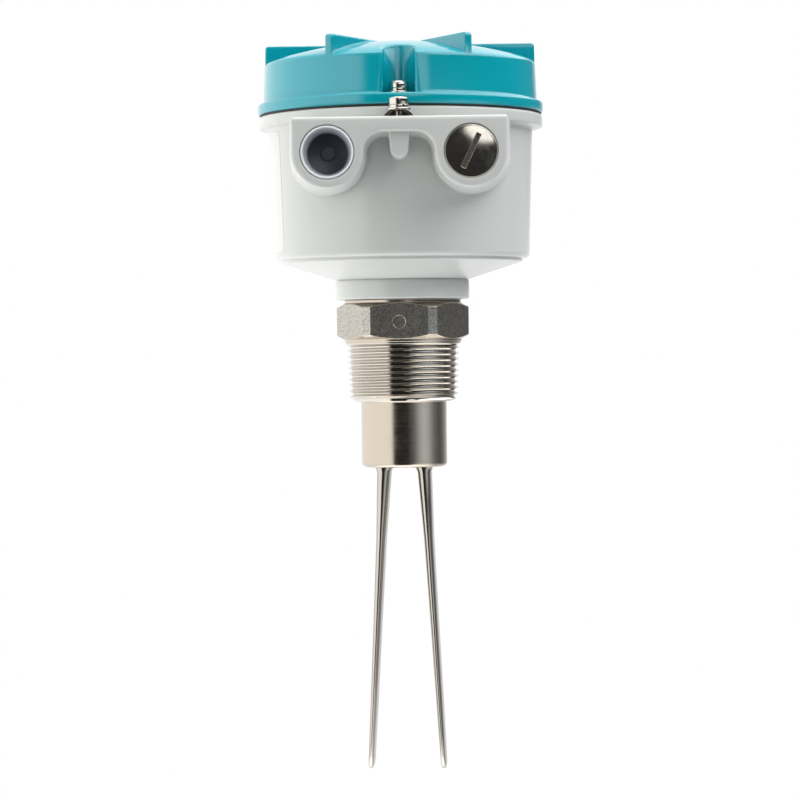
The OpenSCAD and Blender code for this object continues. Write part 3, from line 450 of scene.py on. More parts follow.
def turned_lines_group():
    """Fine lathe lines round the axis and a faint cloud, as a height and a roughness."""
    group, first, last, coordinate = start_group(
        "turned_lines", (("Line Scale", 1.0), ("Roughness From", 0.2), ("Roughness To", 0.3)),
        ("Height", "Roughness"))
    lines = noise(group, mapped(group, coordinate, scale=(30, 30, 5200)), first["Line Scale"], 3)
    both = calculate(group, "MULTIPLY", lines, noise(group, coordinate, 120, 4))
    rough = spread(group, both, (0.12, 0.42), (first["Roughness From"], first["Roughness To"]))
    feed(group, last, Height=lines, Roughness=rough)
    return group


def grain_group():
    """Pitted grain of a blasted or cast skin, as a height and a mask."""
    group, first, last, coordinate = start_group(
        "blasted_grain", (("Grain Scale", 2000),), ("Height", "Mask"))
    pits = noise(group, coordinate, first["Grain Scale"], 4, 0.65)
    feed(group, last, Height=pits, Mask=spread(group, pits, (0.35, 0.65)))
    return group


turned_lines = turned_lines_group()
blasted_grain = grain_group()


def placed_group(tree, group, **values):
    """A node group placed in a material with its own values."""
    return feed(tree, node(tree, "ShaderNodeGroup", node_tree=group), **values).outputs


def bump(tree, shader, height, strength, distance, edge_radius=0.0):
    """Feeds a height into the shader's normal, over edges softened by a small radius."""
    relief = feed(tree, node(tree, "ShaderNodeBump"), Strength=strength, Distance=distance, Height=height)
    if edge_radius:
        soft_edge = feed(tree, node(tree, "ShaderNodeBevel", samples=6), Radius=edge_radius)
        feed(tree, relief, Normal=soft_edge.outputs["Normal"])
    feed(tree, shader, Normal=relief.outputs["Normal"])


def turned_material(name, colour, line_scale, rough, relief, depth, soft_edge=0.0):
    """A steel off the lathe, with fine lines round the axis."""
    material, tree, shader = new_material(name)
    lines = placed_group(tree, turned_lines, Line_Scale=line_scale, Roughness_From=rough[0],
                         Roughness_To=rough[1])
    feed(tree, shader, Base_Color=colour, Metallic=1, Roughness=lines["Roughness"])
    bump(tree, shader, lines["Height"], relief, depth, soft_edge)
    return material


def grained_material(name, tones, rough, grain_scale, relief, depth, soft_edge=0.0, metallic=0):
    """A grained material: its tones, its roughness and its relief follow the same pits."""
    material, tree, shader = new_material(name)
    grain = placed_group(tree, blasted_grain, Grain_Scale=grain_scale)
    tone, matt = tones[0], rough[0]
    if len(tones) > 1:
        tone = colour_ramp(tree, grain["Mask"], [(0, tones[0]), (1, tones[1])])
    if len(rough) > 1:
        matt = spread(tree, grain["Mask"], onto=rough)
    feed(tree, shader, Base_Color=tone, Metallic=metallic, Roughness=matt)
    bump(tree, shader, grain["Height"], relief, depth, soft_edge)
    return material


def give_materials(piece, *materials):
    """Gives a piece its materials, in order."""
    piece.data.materials.clear()
    for material in materials:
        piece.data.materials.append(material)


# Turned stainless is warm and bright, the hexagon's flats are blasted grey, and the thread is cut clean
turned_steel = turned_material("stainless_turned", (0.47, 0.415, 0.35), 1.0, (0.13, 0.27), 0.18, 0.00005,
                               0.0003)
blasted_steel = grained_material("stainless_blasted", [(0.22, 0.21, 0.19), (0.52, 0.495, 0.45)], (0.27, 0.37),
                                 1700.0, 0.40, 0.00014, 0.0003, metallic=1)
thread_steel = turned_material("stainless_thread_cut", (0.56, 0.53, 0.485), 0.6, (0.06, 0.14), 0.05, 0.00003)
give_materials(process_connection, turned_steel, blasted_steel, thread_steel)
for face in process_connection.data.polygons:
    middle = face.center / mm
    upright = abs(face.normal.z) < 0.01
    on_hexagon = 1.2 < middle.z < 14.6 and middle.xy.length > 22.55
    on_thread = -23.1 < middle.z < -0.4 and middle.xy.length > 17.5
    face.material_index = 1 if upright and on_hexagon else 2 if on_thread else 0
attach(process_connection, "probe")
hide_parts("process_connection")


# Vibrating fork: a membrane disc with two splayed blades, milled from one stainless blank and brushed.
# The disc is welded into the tube's end, and each blade thins from a flared root to a rounded tip.
blade_stations = [(-46.8, 7.4, 17.0), (-48.3, 7.2, 17.0), (-48.8, 6.2, 17.0), (-49.5, 5.5, 17.0),
                  (-50.5, 5.0, 17.0), (-62.0, 4.3, 17.5), (-76.3, 3.4, 18.0), (-110.0, 2.8, 18.0),
                  (-150.0, 2.2, 18.0), (-159.6, 2.0, 18.0), (-161.0, 1.98, 17.6), (-162.4, 1.95, 16.6),
                  (-163.6, 1.85, 14.8), (-164.4, 1.65, 12.4), (-164.7, 1.3, 10.2)]
first_height, first_t, first_w = blade_stations[0]
blade_root_x, blade_root_z = 7.7, -48.3
splay = 6.4 / 116.4


def blade_middle(height):
    """Distance of a blade's middle from the axis."""
    return blade_root_x + splay * (blade_root_z - height)


blades = []
for side in (-1, 1):
    bpy.ops.object.select_all(action="DESELECT")
    bpy.ops.mesh.primitive_plane_add(size=1 * mm, location=(0, 0, 0))
    blade = bpy.context.object
    blade.name = "fork_blade"
    bpy.ops.object.mode_set(mode="EDIT")
    bpy.ops.transform.resize(value=(first_t, first_w, 1))
    bpy.ops.mesh.bevel(offset=first_t * 0.46 * mm, segments=6, affect="VERTICES")
    bpy.ops.transform.translate(value=(side * blade_middle(first_height) * mm, 0, first_height * mm))
    for (height, t, w), (low, low_t, low_w) in zip(blade_stations, blade_stations[1:]):
        lean = side * (blade_middle(low) - blade_middle(height)) * mm
        bpy.ops.mesh.extrude_region_move(TRANSFORM_OT_translate={"value": (lean, 0, (low - height) * mm)})
        middle = (side * blade_middle(low) * mm, 0, low * mm)
        bpy.ops.transform.resize(value=(low_t / t, low_w / w, 1), center_override=middle)
    close_up()
    blades.append(blade)
membrane = lathe("fork_membrane", [(0, -44.85), (14.3, -44.85)] + arc(14.25, -47.9, 0.3, 0, -90, 4)
                 + [(0, -48.2)], steps=96)
join(membrane, blades)
fork = membrane
fork.name = "vibrating_fork_steel"
place(fork, turn=probe_turn)
smooth(fork, 40)

brushed_steel, tree, shader = new_material("stainless_brushed")
coordinate = node(tree, "ShaderNodeTexCoord").outputs["Object"]
strokes = noise(tree, mapped(tree, coordinate, scale=(2600, 2600, 40)), 1, 3)
feed(tree, shader, Base_Color=(0.46, 0.425, 0.38), Metallic=1, Specular_Tint=grey(0.55),
     Roughness=spread(tree, strokes, onto=(0.07, 0.17)))
bump(tree, shader, strokes, 0.08, 0.00004)
give_materials(fork, brushed_steel)
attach(fork, "probe")
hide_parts("vibrating_fork")


# Housing: die-cast aluminium with a satin light-grey powder coat, turning on the spigot by its neck.
# A rim carries the lid, and a boss in front holds the two conduit entries and the earth screw's lug.
body_outline = (
    [(0, 16.25)] + arc(25.0, 17.05, 0.8, -90, 0, 5) + arc(24.9, 22.9, 0.9, 0, 68, 5)
    + [(46.25, 30.42)] + arc(46.2, 30.7, 0.2, -50, 0, 3) + arc(46.6, 31.5, 0.2, 180, 90, 3)
    + arc(47.2, 33.7, 2.0, -90, -2, 8) + arc(52.7, 80.1, 1.9, 178, 90, 6)
    + arc(54.0, 82.7, 0.7, -90, 0, 5) + arc(54.0, 85.9, 0.7, 0, 90, 5) + [(0, 86.6)])
housing = lathe("housing_cast", body_outline)

entry_x, entry_z, entry_r, lobe_r = 26.25, 69.0, 10.0, 13.3
arch_r, bridge_low = 7.2, 76.4
boss_front, boss_middle, boss_back = 66.5, 52.0, 27.3
boss_top, boss_round, ledge_round = 82.0, 1.5, 0.8


def boss_ring(inset):
    """Outline of the boss seen from the front, drawn in by an inset: ledge, two lobes and the arch."""
    side = entry_x + lobe_r - inset
    top = boss_top - max(inset, 0)
    corner_x = entry_x - lobe_r - arch_r
    corner_z = bridge_low - arch_r
    ring = arc(side - ledge_round, top - ledge_round, ledge_round, 90, 0, 4)
    ring += arc(entry_x, entry_z, lobe_r - inset, 0, -180, 28)
    ring += arc(corner_x, corner_z, arch_r + inset, 0, 90, 14)
    ring += arc(-corner_x, corner_z, arch_r + inset, 90, 180, 14)
    ring += arc(-entry_x, entry_z, lobe_r - inset, 0, -180, 28)
    ring += arc(-side + ledge_round, top - ledge_round, ledge_round, 180, 90, 4)
    return ring


def filled_outline(name, points, front):
    """A closed outline filled to a face and moved to its depth, left in edit mode."""
    piece = draw_outline(name, points)
    bpy.ops.mesh.remove_doubles(threshold=merge_gap)
    bpy.ops.mesh.edge_face_add()
    bpy.ops.transform.translate(value=(0, front * mm, 0))
    return piece


def push_back(depth):
    """Extrudes the face that was just made towards the back."""
    bpy.ops.mesh.extrude_region_move(TRANSFORM_OT_translate={"value": (0, depth * mm, 0)})


def prism(name, points, front, depth):
    """A closed outline extruded towards the back."""
    piece = filled_outline(name, points, front)
    push_back(depth)
    close_up()
    return piece


# The boss is extruded back from its front outline, and each ring then takes its own inset
boss_rings = []
for degrees in (0, 15, 30, 45, 60, 75, 90):
    a = math.radians(degrees)
    boss_rings.append((-boss_front + boss_round * (1 - math.cos(a)), boss_round * (1 - math.sin(a))))
boss_rings += [(-boss_middle, -0.9), (-boss_back, -2.1)]
front_ring = boss_ring(boss_round)
boss = filled_outline("housing_boss", front_ring + front_ring[:1], -boss_front)
for (depth, inset), (next_depth, next_inset) in zip(boss_rings, boss_rings[1:]):
    push_back(next_depth - depth)
bpy.ops.object.mode_set(mode="OBJECT")
depths = sorted({round(point.co.y / mm, 3) for point in boss.data.vertices})
for depth, (ring_depth, inset) in zip(depths, boss_rings):
    wanted = boss_ring(inset)
    for point in boss.data.vertices:
        if abs(point.co.y / mm - depth) < 0.002:
            seen = (point.co.x / mm, point.co.z / mm)
            nearest = min(range(len(front_ring)), key=lambda k: math.dist(front_ring[k], seen))
            point.co.x, point.co.z = wanted[nearest][0] * mm, wanted[nearest][1] * mm
bpy.ops.object.mode_set(mode="EDIT")
close_up()
combine(housing, boss, "UNION")


def round_edges(piece, width, segments, above=50):
    """Rounds the edges that are sharper than an angle in degrees."""
    rounding = piece.modifiers.new("rounding", "BEVEL")
    rounding.width = width * mm
    rounding.segments = segments
    rounding.limit_method = "ANGLE"
    rounding.angle_limit = math.radians(above)
    bpy.context.view_layer.objects.active = piece
    bpy.ops.object.modifier_apply(modifier=rounding.name)


# Lug under the bridge for the earth screw
lug_outline = arc(0, 70.3, 3.3, 180, 360, 20) + [(4.2, 79.2), (-4.2, 79.2), (-3.3, 70.3)]
lug = prism("earth_lug", lug_outline, -63.5, 14.5)
round_edges(lug, 0.9, 4)
combine(housing, lug, "UNION")


def around(radius, degrees):
    """A place on a circle about the axis."""
    return radius * math.cos(math.radians(degrees)), radius * math.sin(math.radians(degrees))


def block(name, low, high):
    """A plain block between two corners, in millimetres, used to cut."""
    bpy.ops.object.select_all(action="DESELECT")
    bpy.ops.mesh.primitive_cube_add(size=1 * mm, location=(0, 0, 0))
    piece = bpy.context.object
    piece.name = name
    bpy.ops.object.mode_set(mode="EDIT")
    bpy.ops.transform.resize(value=[high[i] - low[i] for i in range(3)])
    bpy.ops.object.mode_set(mode="OBJECT")
    place(piece, move=[(low[i] + high[i]) / 2 for i in range(3)])
    return piece


# The inner space keeps the pillars of the lid screws, the posts of the electronics and an earth lug
screw_bearings = (-90, 30, 150)
screw_circle_r, screw_hole_r = 47.0, 2.15
earth_y, inner_earth_y = -60.5, 40.5
inner_space = lathe("inner_space", [(0, 29.0), (22.5, 29.0), (40.5, 36.7), (45.5, 41.7), (45.5, 88.0),
                                    (0, 88.0)], steps=128)
for bearing_degrees in screw_bearings:
    x, y = around(screw_circle_r, bearing_degrees)
    combine(inner_space, round_bar("pillar", 5.2, 20, 90, x, y), "DIFFERENCE")
    x, y = around(32.0, bearing_degrees)
    combine(inner_space, round_bar("post", 4.0, 20, 48.7, x, y), "DIFFERENCE")
combine(inner_space, block("inner_earth_lug", (-5, 35.5, 61.7), (5, 50, 71.7)), "DIFFERENCE")
combine(housing, inner_space, "DIFFERENCE")
combine(housing, round_bar("neck_bore", 19.5, 10, 35, sides=128), "DIFFERENCE")
for side in (-1, 1):
    entry = round_bar("entry", entry_r, -0.5, 40, sides=96)
    place(entry, turn=math.radians(-90), axis="X")
    place(entry, move=(side * entry_x, -67, entry_z))
    combine(housing, entry, "DIFFERENCE")
screw_holes = [(*around(screw_circle_r, bearing_degrees), 74.9, 90) for bearing_degrees in screw_bearings]
screw_holes += [(0, earth_y, 71.7, 90), (0, inner_earth_y, 63.1, 80)]
for x, y, low, high in screw_holes:
    combine(housing, round_bar("screw_hole", screw_hole_r, low, high, x, y, sides=24), "DIFFERENCE")
smooth(housing, 30)


def coat_group():
    """Orange-peel skin of a powder coat and faint handling marks, as a height and a roughness."""
    group, first, last, coordinate = start_group(
        "powder_coat_skin", (("Roughness From", 0.3), ("Roughness To", 0.4)), ("Height", "Roughness"))
    marks = noise(group, coordinate, 60, 5)
    rough = spread(group, marks, (0.3, 0.7), (first["Roughness From"], first["Roughness To"]))
    feed(group, last, Height=noise(group, coordinate, 850, 2), Roughness=rough)
    return group


powder_coat_skin = coat_group()


def coat_material(name, tones, rough, peel, gloss):
    """A powder coat: two close tones in a soft cloud, orange peel, and edges softened by the coat."""
    material, tree, shader = new_material(name)
    cloud = noise(tree, node(tree, "ShaderNodeTexCoord").outputs["Object"], 45, 3)
    tone = colour_ramp(tree, cloud, [(0.35, tones[0]), (0.65, tones[1])])
    skin = placed_group(tree, powder_coat_skin, Roughness_From=rough[0], Roughness_To=rough[1])
    feed(tree, shader, Base_Color=tone, Roughness=skin["Roughness"], Specular_IOR_Level=gloss)
    bump(tree, shader, skin["Height"], peel, 0.00006, 0.0009)
    return material


grey_coat = coat_material("housing_grey_coat", [(0.590, 0.605, 0.588), (0.596, 0.611, 0.594)], (0.215, 0.23),
                          peel=0.05, gloss=0.55)
give_materials(housing, grey_coat)
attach(housing, "enclosure")
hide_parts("housing")


# Label: a bare white sheet on the left of the body, cut with round corners and stuck to the coat.
# It follows the drafted wall and is less than a tenth of a millimetre thick.
label_low, label_high = 34.6, 80.2
label_start, label_end = math.radians(-154.5), math.radians(-222)
label_columns, label_rows = 48, 24
label_corner, label_thick, label_lift = 2.5, 0.06, 0.035
wall_low, wall_low_r, wall_mean_r, draft = 33.7, 49.2, 50, 1.6 / 46.4
bpy.ops.object.select_all(action="DESELECT")
bpy.ops.mesh.primitive_grid_add(x_subdivisions=label_columns, y_subdivisions=label_rows, size=1,
                                location=(0, 0, 0))
label = bpy.context.object
label.name = "type_label_blank"
label_width = abs(label_end - label_start) * wall_mean_r
label_tall = label_high - label_low
for point in label.data.vertices:
    across, height = (point.co.x + 0.5) * label_width, (point.co.y + 0.5) * label_tall
    corner_x = min(max(across, label_corner), label_width - label_corner)
    corner_z = min(max(height, label_corner), label_tall - label_corner)
    out = Vector((across - corner_x, height - corner_z))
    if out.x and out.y:
        square = max(abs(out.x), abs(out.y))
        out *= square / out.length
        across, height = corner_x + out.x, corner_z + out.y
    z = label_low + height
    r = wall_low_r + draft * (z - wall_low) + label_lift
    a = label_start + (label_end - label_start) * across / label_width
    point.co = (r * math.cos(a) * mm, r * math.sin(a) * mm, z * mm)
bpy.context.view_layer.objects.active = label
bpy.ops.object.mode_set(mode="EDIT")
bpy.ops.mesh.select_all(action="SELECT")
bpy.ops.mesh.normals_make_consistent(inside=False)
bpy.ops.object.mode_set(mode="OBJECT")
thickness = label.modifiers.new("thickness", "SOLIDIFY")
thickness.thickness = label_thick * mm
thickness.offset = 0
bpy.ops.object.modifier_apply(modifier=thickness.name)
smooth(label, 40)
label_film = grained_material("label_white_film", [(0.69, 0.69, 0.68), (0.72, 0.72, 0.71)], (0.42,), 1500.0,
                              0.05, 0.00003)
give_materials(label, label_film)
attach(label, "enclosure")


# Transport cap: a moulded polyethylene cup pressed into the left entry to keep dirt out.
# Its lip is a pale, cloudy white; its inner wall is painted grey and its deep floor painted dark, as painted
# shade where the entry behind it is dark.
cap_outline = ([(0, 9.6), (7.2, 9.6)] + arc(7.1, 9.1, 0.5, 80, 0, 4)[1:] + [(8.75, 0.9)]
               + arc(9.25, 0.45, 0.45, 180, 360, 8) + [(9.85, 1.0), (9.9, 1.4), (9.9, 9.6)]
               + arc(8.9, 10.0, 1.0, 0, 90, 5) + [(0, 11.0)])
transport_cap = lathe("transport_cap_moulding", cap_outline, steps=96)
gate = lathe("cap_gate_mark", [(0, 8.6), (2.4, 8.6)] + arc(2.5, 8.9, 0.3, -90, 0, 3)
             + [(3.1, 9.9), (0, 9.9)], steps=6)
place(gate, turn=math.radians(12))
join(transport_cap, [gate])
place(transport_cap, turn=math.radians(-90), axis="X")
place(transport_cap, move=(-entry_x, -boss_front, entry_z))
smooth(transport_cap, 35)

cap_plastic, tree, shader = new_material("cap_polyethylene_painted_shade")
coordinate = node(tree, "ShaderNodeTexCoord").outputs["Object"]
from_axis = length(tree, mapped(tree, coordinate, (entry_x * mm, 0, -entry_z * mm), (1, 0, 1)))
radius_share = spread(tree, from_axis, (0, entry_r * mm))
# Painted shade: by distance from the entry's axis the floor is dark, the inner wall grey, and only the lip
# pale white
cup_tones_painted_shade = colour_ramp(tree, radius_share, [
    (0.0, (0.055, 0.062, 0.080)), (0.73, (0.030, 0.036, 0.050)), (0.77, (0.42, 0.44, 0.50)),
    (0.81, (0.62, 0.65, 0.71)), (0.885, (0.58, 0.60, 0.65)), (0.92, (0.84, 0.86, 0.88)),
    (1.0, (0.86, 0.88, 0.89))])
feed(tree, shader, Base_Color=cup_tones_painted_shade, Roughness=0.3)
grain = placed_group(tree, blasted_grain, Grain_Scale=700.0)
bump(tree, shader, grain["Height"], 0.08, 0.00006, 0.0002)
give_materials(transport_cap, cap_plastic)
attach(transport_cap, "enclosure")
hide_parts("transport_cap")


# Blanking plug: brass, polished and nickel plated, screwed flush into the right entry.
# Its face is crowned a little, has a turned rim and takes a screwdriver in a closed slot.
crown_r = 69.3
plug_outline = ([(r, crown_r - math.sqrt(crown_r ** 2 - r ** 2)) for r in (0, 1.5, 3, 4.5, 6, 7.5, 8.6, 9.2)]
                + arc(9.3, 1.2, 0.6, -80, 0, 6) + [(9.9, 1.6), (9.9, 11.6), (9.5, 12.0), (0, 12.0)])
plug = lathe("blanking_plug_nickel", plug_outline, steps=128)
slot_x, slot_z = 0.95, 6.85
slot = prism("plug_slot", [(slot_x, slot_z), (-slot_x, slot_z), (-slot_x, -slot_z), (slot_x, -slot_z),
                           (slot_x, slot_z)], 0, 4)
place(slot, turn=math.radians(25.6), axis="Y")
place(plug, turn=math.radians(-90), axis="X")
place(slot, move=(0, -1.8, 0))
combine(plug, slot, "DIFFERENCE")
place(plug, move=(entry_x, -boss_front, entry_z))
smooth(plug, 25)

nickel, tree, shader = new_material("nickel_polished")
coordinate = node(tree, "ShaderNodeTexCoord").outputs["Object"]
from_axis = length(tree, mapped(tree, coordinate, (-entry_x * mm, 0, -entry_z * mm), (1, 0, 1)))
rings = feed(tree, node(tree, "ShaderNodeTexNoise", noise_dimensions="1D"), W=from_axis, Scale=6000, Detail=3)
specks = noise(tree, coordinate, 420, 6)
tone = colour_ramp(tree, specks, [(0.3, (0.66, 0.61, 0.54)), (0.7, (0.80, 0.75, 0.68))])
feed(tree, shader, Base_Color=tone, Metallic=1, Roughness=spread(tree, specks, onto=(0.05, 0.17)))
bump(tree, shader, rings.outputs["Fac"], 0.12, 0.00003, 0.0002)
# The slot is milled and left matt; its dark tone is painted shade inside the slot
slot_nickel_painted_shade = grained_material("nickel_slot_painted_shade", [(0.30, 0.275, 0.235)], (0.24, 0.34), 1200.0, 0.15, 0.00006,
                                 metallic=1)
give_materials(plug, nickel, slot_nickel_painted_shade)
for face in plug.data.polygons:
    middle = face.center / mm - Vector((entry_x, -boss_front, entry_z))
    in_slot = 1.2 < middle.y < 3.0 and math.hypot(middle.x, middle.z) < 7.2
    face.material_index = 1 if in_slot else 0
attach(plug, "enclosure")
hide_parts("blanking_plug")


# Lid: die-cast aluminium with a glossy teal powder coat, held by three screws in open notches.
# Six ribs with level tops stand on the dome, and a wall closes each notch towards the inside.
dome_edge_r, dome_rise, dome_top = 52.1, 8.0, 115.3
dome_radius = (dome_edge_r ** 2 + dome_rise ** 2) / (2 * dome_rise)
lid_wall, lid_seat = 3.2, 91.6
rib_start, rib_wide, rib_top, rib_count = 12, 3.0, 114.4, 6
notch_r, notch_wall_r, notch_end, notch_lean = 5.9, 8.7, 12, 15.7
flare_start, flare_end, flare_wide, mouth_wide = 4.95, 9, 14.6, 22


def dome_height(r, below=0.0):
    """Height of the dome at a distance from the axis."""
    return dome_top - dome_radius + math.sqrt((dome_radius - below) ** 2 - r ** 2)


dome_line = [(r, dome_height(r)) for r in (48.5, 44, 39, 34, 29, 24, 19, 14, 9, 4)]
lid_outline = ([(0, 87.4)] + arc(54.1, 88.3, 0.9, -90, 0, 6) + arc(54.1, 90.7, 0.9, 0, 90, 6)
               + arc(53.6, 92.5, 0.9, 270, 182, 6)
               + arc(50.3, 105.5, 1.9, 2, 72, 8) + dome_line + [(0, dome_top)])
lid = lathe("lid_cast", lid_outline, steps=192)

rib_points = [(r, dome_height(r) - 2.0) for r in (rib_start, 18, 24, 30, 36, 42, 47, 51.4)]
rib_points += ([(52.0, 104.5), (51.85, 112.6)] + arc(50.55, 113.1, 1.3, 0, 90, 6)
               + [(rib_start, rib_top), rib_points[0]])
ribs = []
for index in range(rib_count):
    rib = prism("lid_rib", rib_points, -rib_wide / 2, rib_wide)
    round_edges(rib, 0.7, 3)
    place(rib, turn=math.radians(360 / rib_count * index))
    ribs.append(rib)
for rib in ribs:
    combine(lid, rib, "UNION")


def notch(name, radius, low, high, bearing_degrees, flare=0.0):
    """A slot with a round inner end that runs out through the wall, over edges rounded by a flare."""
    mouth = [(notch_end, -radius), (notch_end, radius)]
    if flare:
        edge = radius + flare
        start = flare_start - flare
        mouth = (arc(start, -edge, flare, 90, 15, 6)
                 + [(flare_end, -edge - flare_wide), (notch_end, -mouth_wide)]
                 + [(notch_end, mouth_wide), (flare_end, edge + flare_wide)]
                 + arc(start, edge, flare, -15, -90, 6))
    piece = prism(name, arc(0, 0, radius, 90, 270, 28) + mouth + [(0, radius)], 0, high - low)
    place(piece, turn=math.radians(90), axis="X")
    place(piece, move=(screw_circle_r, 0, low))
    place(piece, turn=math.radians(bearing_degrees))
    return piece


def notch_lip(name, radius, lip, bearing_degrees):
    """The rounding of a notch's upper edge, which widens towards the dome and leans with it."""
    rings = [(radius - 0.3, -lip - 0.4)] + arc(radius + lip, -lip, lip, 180, 90, 6) + [(radius + lip, 3)]
    first_r, first_z = rings[0]
    outline = arc(0, 0, first_r, 90, 270, 28) + [(notch_end, -first_r), (notch_end, first_r), (0, first_r)]
    piece = filled_outline(name, outline, -first_z)
    for (r, z), (next_r, next_z) in zip(rings, rings[1:]):
        push_back(z - next_z)
        bpy.ops.transform.resize(value=(next_r / r, 1, next_r / r), center_override=(0, 0, 0))
    close_up()
    place(piece, turn=math.radians(-90), axis="X")
    place(piece, turn=math.radians(notch_lean), axis="Y")
    place(piece, move=(screw_circle_r, 0, dome_height(screw_circle_r)))
    place(piece, turn=math.radians(bearing_degrees))
    return piece


lid_hollow = lathe("lid_hollow", [(0, 86.0), (49.55, 86.0), (48.95, 104.2)]
                   + [(r, dome_height(r, lid_wall)) for r in (47.5, 42, 36, 30, 24, 18, 12, 6)]
                   + [(0, dome_top - lid_wall)], steps=128)
for bearing_degrees in screw_bearings:
    combine(lid_hollow, notch("notch_wall", notch_wall_r, 80, 130, bearing_degrees), "DIFFERENCE")
combine(lid, lid_hollow, "DIFFERENCE")
for bearing_degrees in screw_bearings:
    combine(lid, notch("notch_space", notch_r, lid_seat, 130, bearing_degrees, flare=1.3), "DIFFERENCE")
    combine(lid, notch_lip("notch_lip", notch_r, 1.2, bearing_degrees), "DIFFERENCE")
    x, y = around(screw_circle_r, bearing_degrees)
    combine(lid, round_bar("lid_hole", screw_hole_r, 80, 95, x, y, sides=32), "DIFFERENCE")
smooth(lid, 30)
teal_coat = coat_material("lid_teal_coat", [(0.0005, 0.330, 0.405), (0.0005, 0.335, 0.411)], (0.105, 0.12),
                          peel=0.03, gloss=0.8)
give_materials(lid, teal_coat)
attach(lid, "cover")
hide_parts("lid")


# Screws and washers: bright stainless pan heads with a cross recess over split and flat washers.
# One set is modelled on the axis and copied to the three lid notches and the two earth terminals.
head_r, head_h, shank_r = 3.7, 3.2, 2.0
lock_r, lock_h, lock_round = 3.6, 1.1, 0.15
flat_r, flat_h, flat_round = 4.5, 0.8, 0.3


def pan_screw(name, shank_len, crown=1.5):
    """A pan head screw whose head stands on the origin, with its upper edge rounded by a crown."""
    outline = ([(0, -shank_len), (shank_r - 0.4, -shank_len), (shank_r, -shank_len + 0.4), (shank_r, 0)]
               + arc(head_r - 0.25, 0.25, 0.25, -90, 0, 3)
               + arc(head_r - crown, head_h - crown - 0.35, crown, 0, 78, 8)
               + [(head_r * 0.3, head_h - 0.08), (0, head_h)])
    screw = lathe(name, outline, steps=48)
    for turn in (0, 90):
        arm = block("recess_arm", (-head_r * 0.58, -0.5, head_h - 1.6), (head_r * 0.58, 0.5, head_h + 1))
        place(arm, turn=math.radians(turn + 20))
        combine(screw, arm, "DIFFERENCE")
    smooth(screw, 30)
    return screw


def split_washer(name):
    """A spring washer, cut through and sprung open a little at the cut."""
    edge = lock_r - lock_round
    outline = (arc(edge, lock_round, lock_round, -90, 0, 2)
               + arc(edge, lock_h - lock_round, lock_round, 0, 90, 2)
               + [(screw_hole_r, lock_h), (screw_hole_r, 0), (edge, 0)])
    washer = lathe(name, outline, steps=48)
    gap = block("washer_gap", (0, -0.45, -1), (lock_r + 1, 0.45, lock_h + 1))
    place(gap, turn=math.radians(-60))
    combine(washer, gap, "DIFFERENCE")
    smooth(washer, 30)
    return washer


def flat_washer(name):
    """A stamped washer with one rounded rim."""
    outline = ([(screw_hole_r, 0), (flat_r - 0.1, 0), (flat_r, 0.1)]
               + arc(flat_r - flat_round, flat_h - flat_round, flat_round, 0, 90, 3)
               + [(screw_hole_r, flat_h), (screw_hole_r, 0)])
    washer = lathe(name, outline, steps=48)
    smooth(washer, 30)
    return washer


bright_steel = grained_material("screw_bright_steel", [(0.60, 0.565, 0.51)], (0.10, 0.20), 900.0, 0.04,
                                0.00004, 0.0001, metallic=1)


def fit(piece, places, body, cad_node):
    """Sets a copy of a fastener at each place, as one piece that rides on a body and replaces a node."""
    copies = []
    for x, y, z in places:
        copied = piece.copy()
        copied.data = piece.data.copy()
        scene.collection.objects.link(copied)
        place(copied, move=(x, y, z))
        copies.append(copied)
    bpy.data.objects.remove(piece)
    whole = copies[0]
    if len(copies) > 1:
        join(whole, copies[1:])
    whole.name = cad_node + "_steel"
    give_materials(whole, bright_steel)
    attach(whole, body)
    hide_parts(cad_node)


def at_height(places, height):
    """Places on the plan, all at one height."""
    return [(x, y, height) for x, y in places]


# From the seat upwards come the flat washer, the split washer and the screw's head
lid_places = [around(screw_circle_r, bearing_degrees) for bearing_degrees in screw_bearings]
earth_places, earth_seat = [(0, earth_y)], 84.4
inner_earth_places, inner_earth_seat = [(0, inner_earth_y)], 71.7
lid_lock_z, earth_lock_z = lid_seat + flat_h, earth_seat + flat_h
lid_head_z, earth_head_z = lid_lock_z + lock_h, earth_lock_z + lock_h
fit(pan_screw("lid_screw", 18), at_height(lid_places, lid_head_z), "cover", "lid_screws")
fit(split_washer("lid_lock"), at_height(lid_places, lid_lock_z), "cover", "lid_lock_washers")
fit(flat_washer("lid_flat"), at_height(lid_places, lid_seat), "cover", "lid_flat_washers")
fit(pan_screw("earth_pan", 14, crown=0.8), at_height(earth_places, earth_head_z), "enclosure", "earth_screw")
fit(split_washer("earth_lock"), at_height(earth_places, earth_lock_z), "enclosure", "earth_lock_washer")
fit(flat_washer("earth_flat"), at_height(earth_places, earth_seat), "enclosure", "earth_flat_washer")
fit(pan_screw("inner_earth", 8), at_height(inner_earth_places, inner_earth_seat), "enclosure",
    "inner_earth_screw")

# Saddle clamp: sheet steel bent to an arch over the earth wire, with its back turned down as a stop
clamp_bend_z, clamp_outer_r, clamp_inner_r, stop_r = 78.2, 6.685, 5.885, 6.4
clamp_outline = (arc(0, clamp_bend_z, clamp_outer_r, 34.7, 68.0, 8)
                 + arc(0, clamp_bend_z, clamp_outer_r, 112.0, 145.3, 8)
                 + arc(0, clamp_bend_z, clamp_inner_r, 139.8, 113.4, 8)
                 + arc(0, clamp_bend_z, clamp_inner_r, 66.6, 40.2, 8))
stop_outline = arc(0, clamp_bend_z, stop_r, 36.5, 70, 8) + arc(0, clamp_bend_z, stop_r, 110, 143.5, 8)
clamp = prism("earth_clamp_sheet", clamp_outline + clamp_outline[:1], -65.0, 9.0)
clamp_stop = prism("earth_clamp_stop", stop_outline + stop_outline[:1], -57.0, 0.8)
combine(clamp, clamp_stop, "UNION")
combine(clamp, round_bar("clamp_hole", screw_hole_r, 80, 90, 0, earth_y, sides=32), "DIFFERENCE")
smooth(clamp, 30)
fit(clamp, [(0, 0, 0)], "enclosure", "earth_clamp")


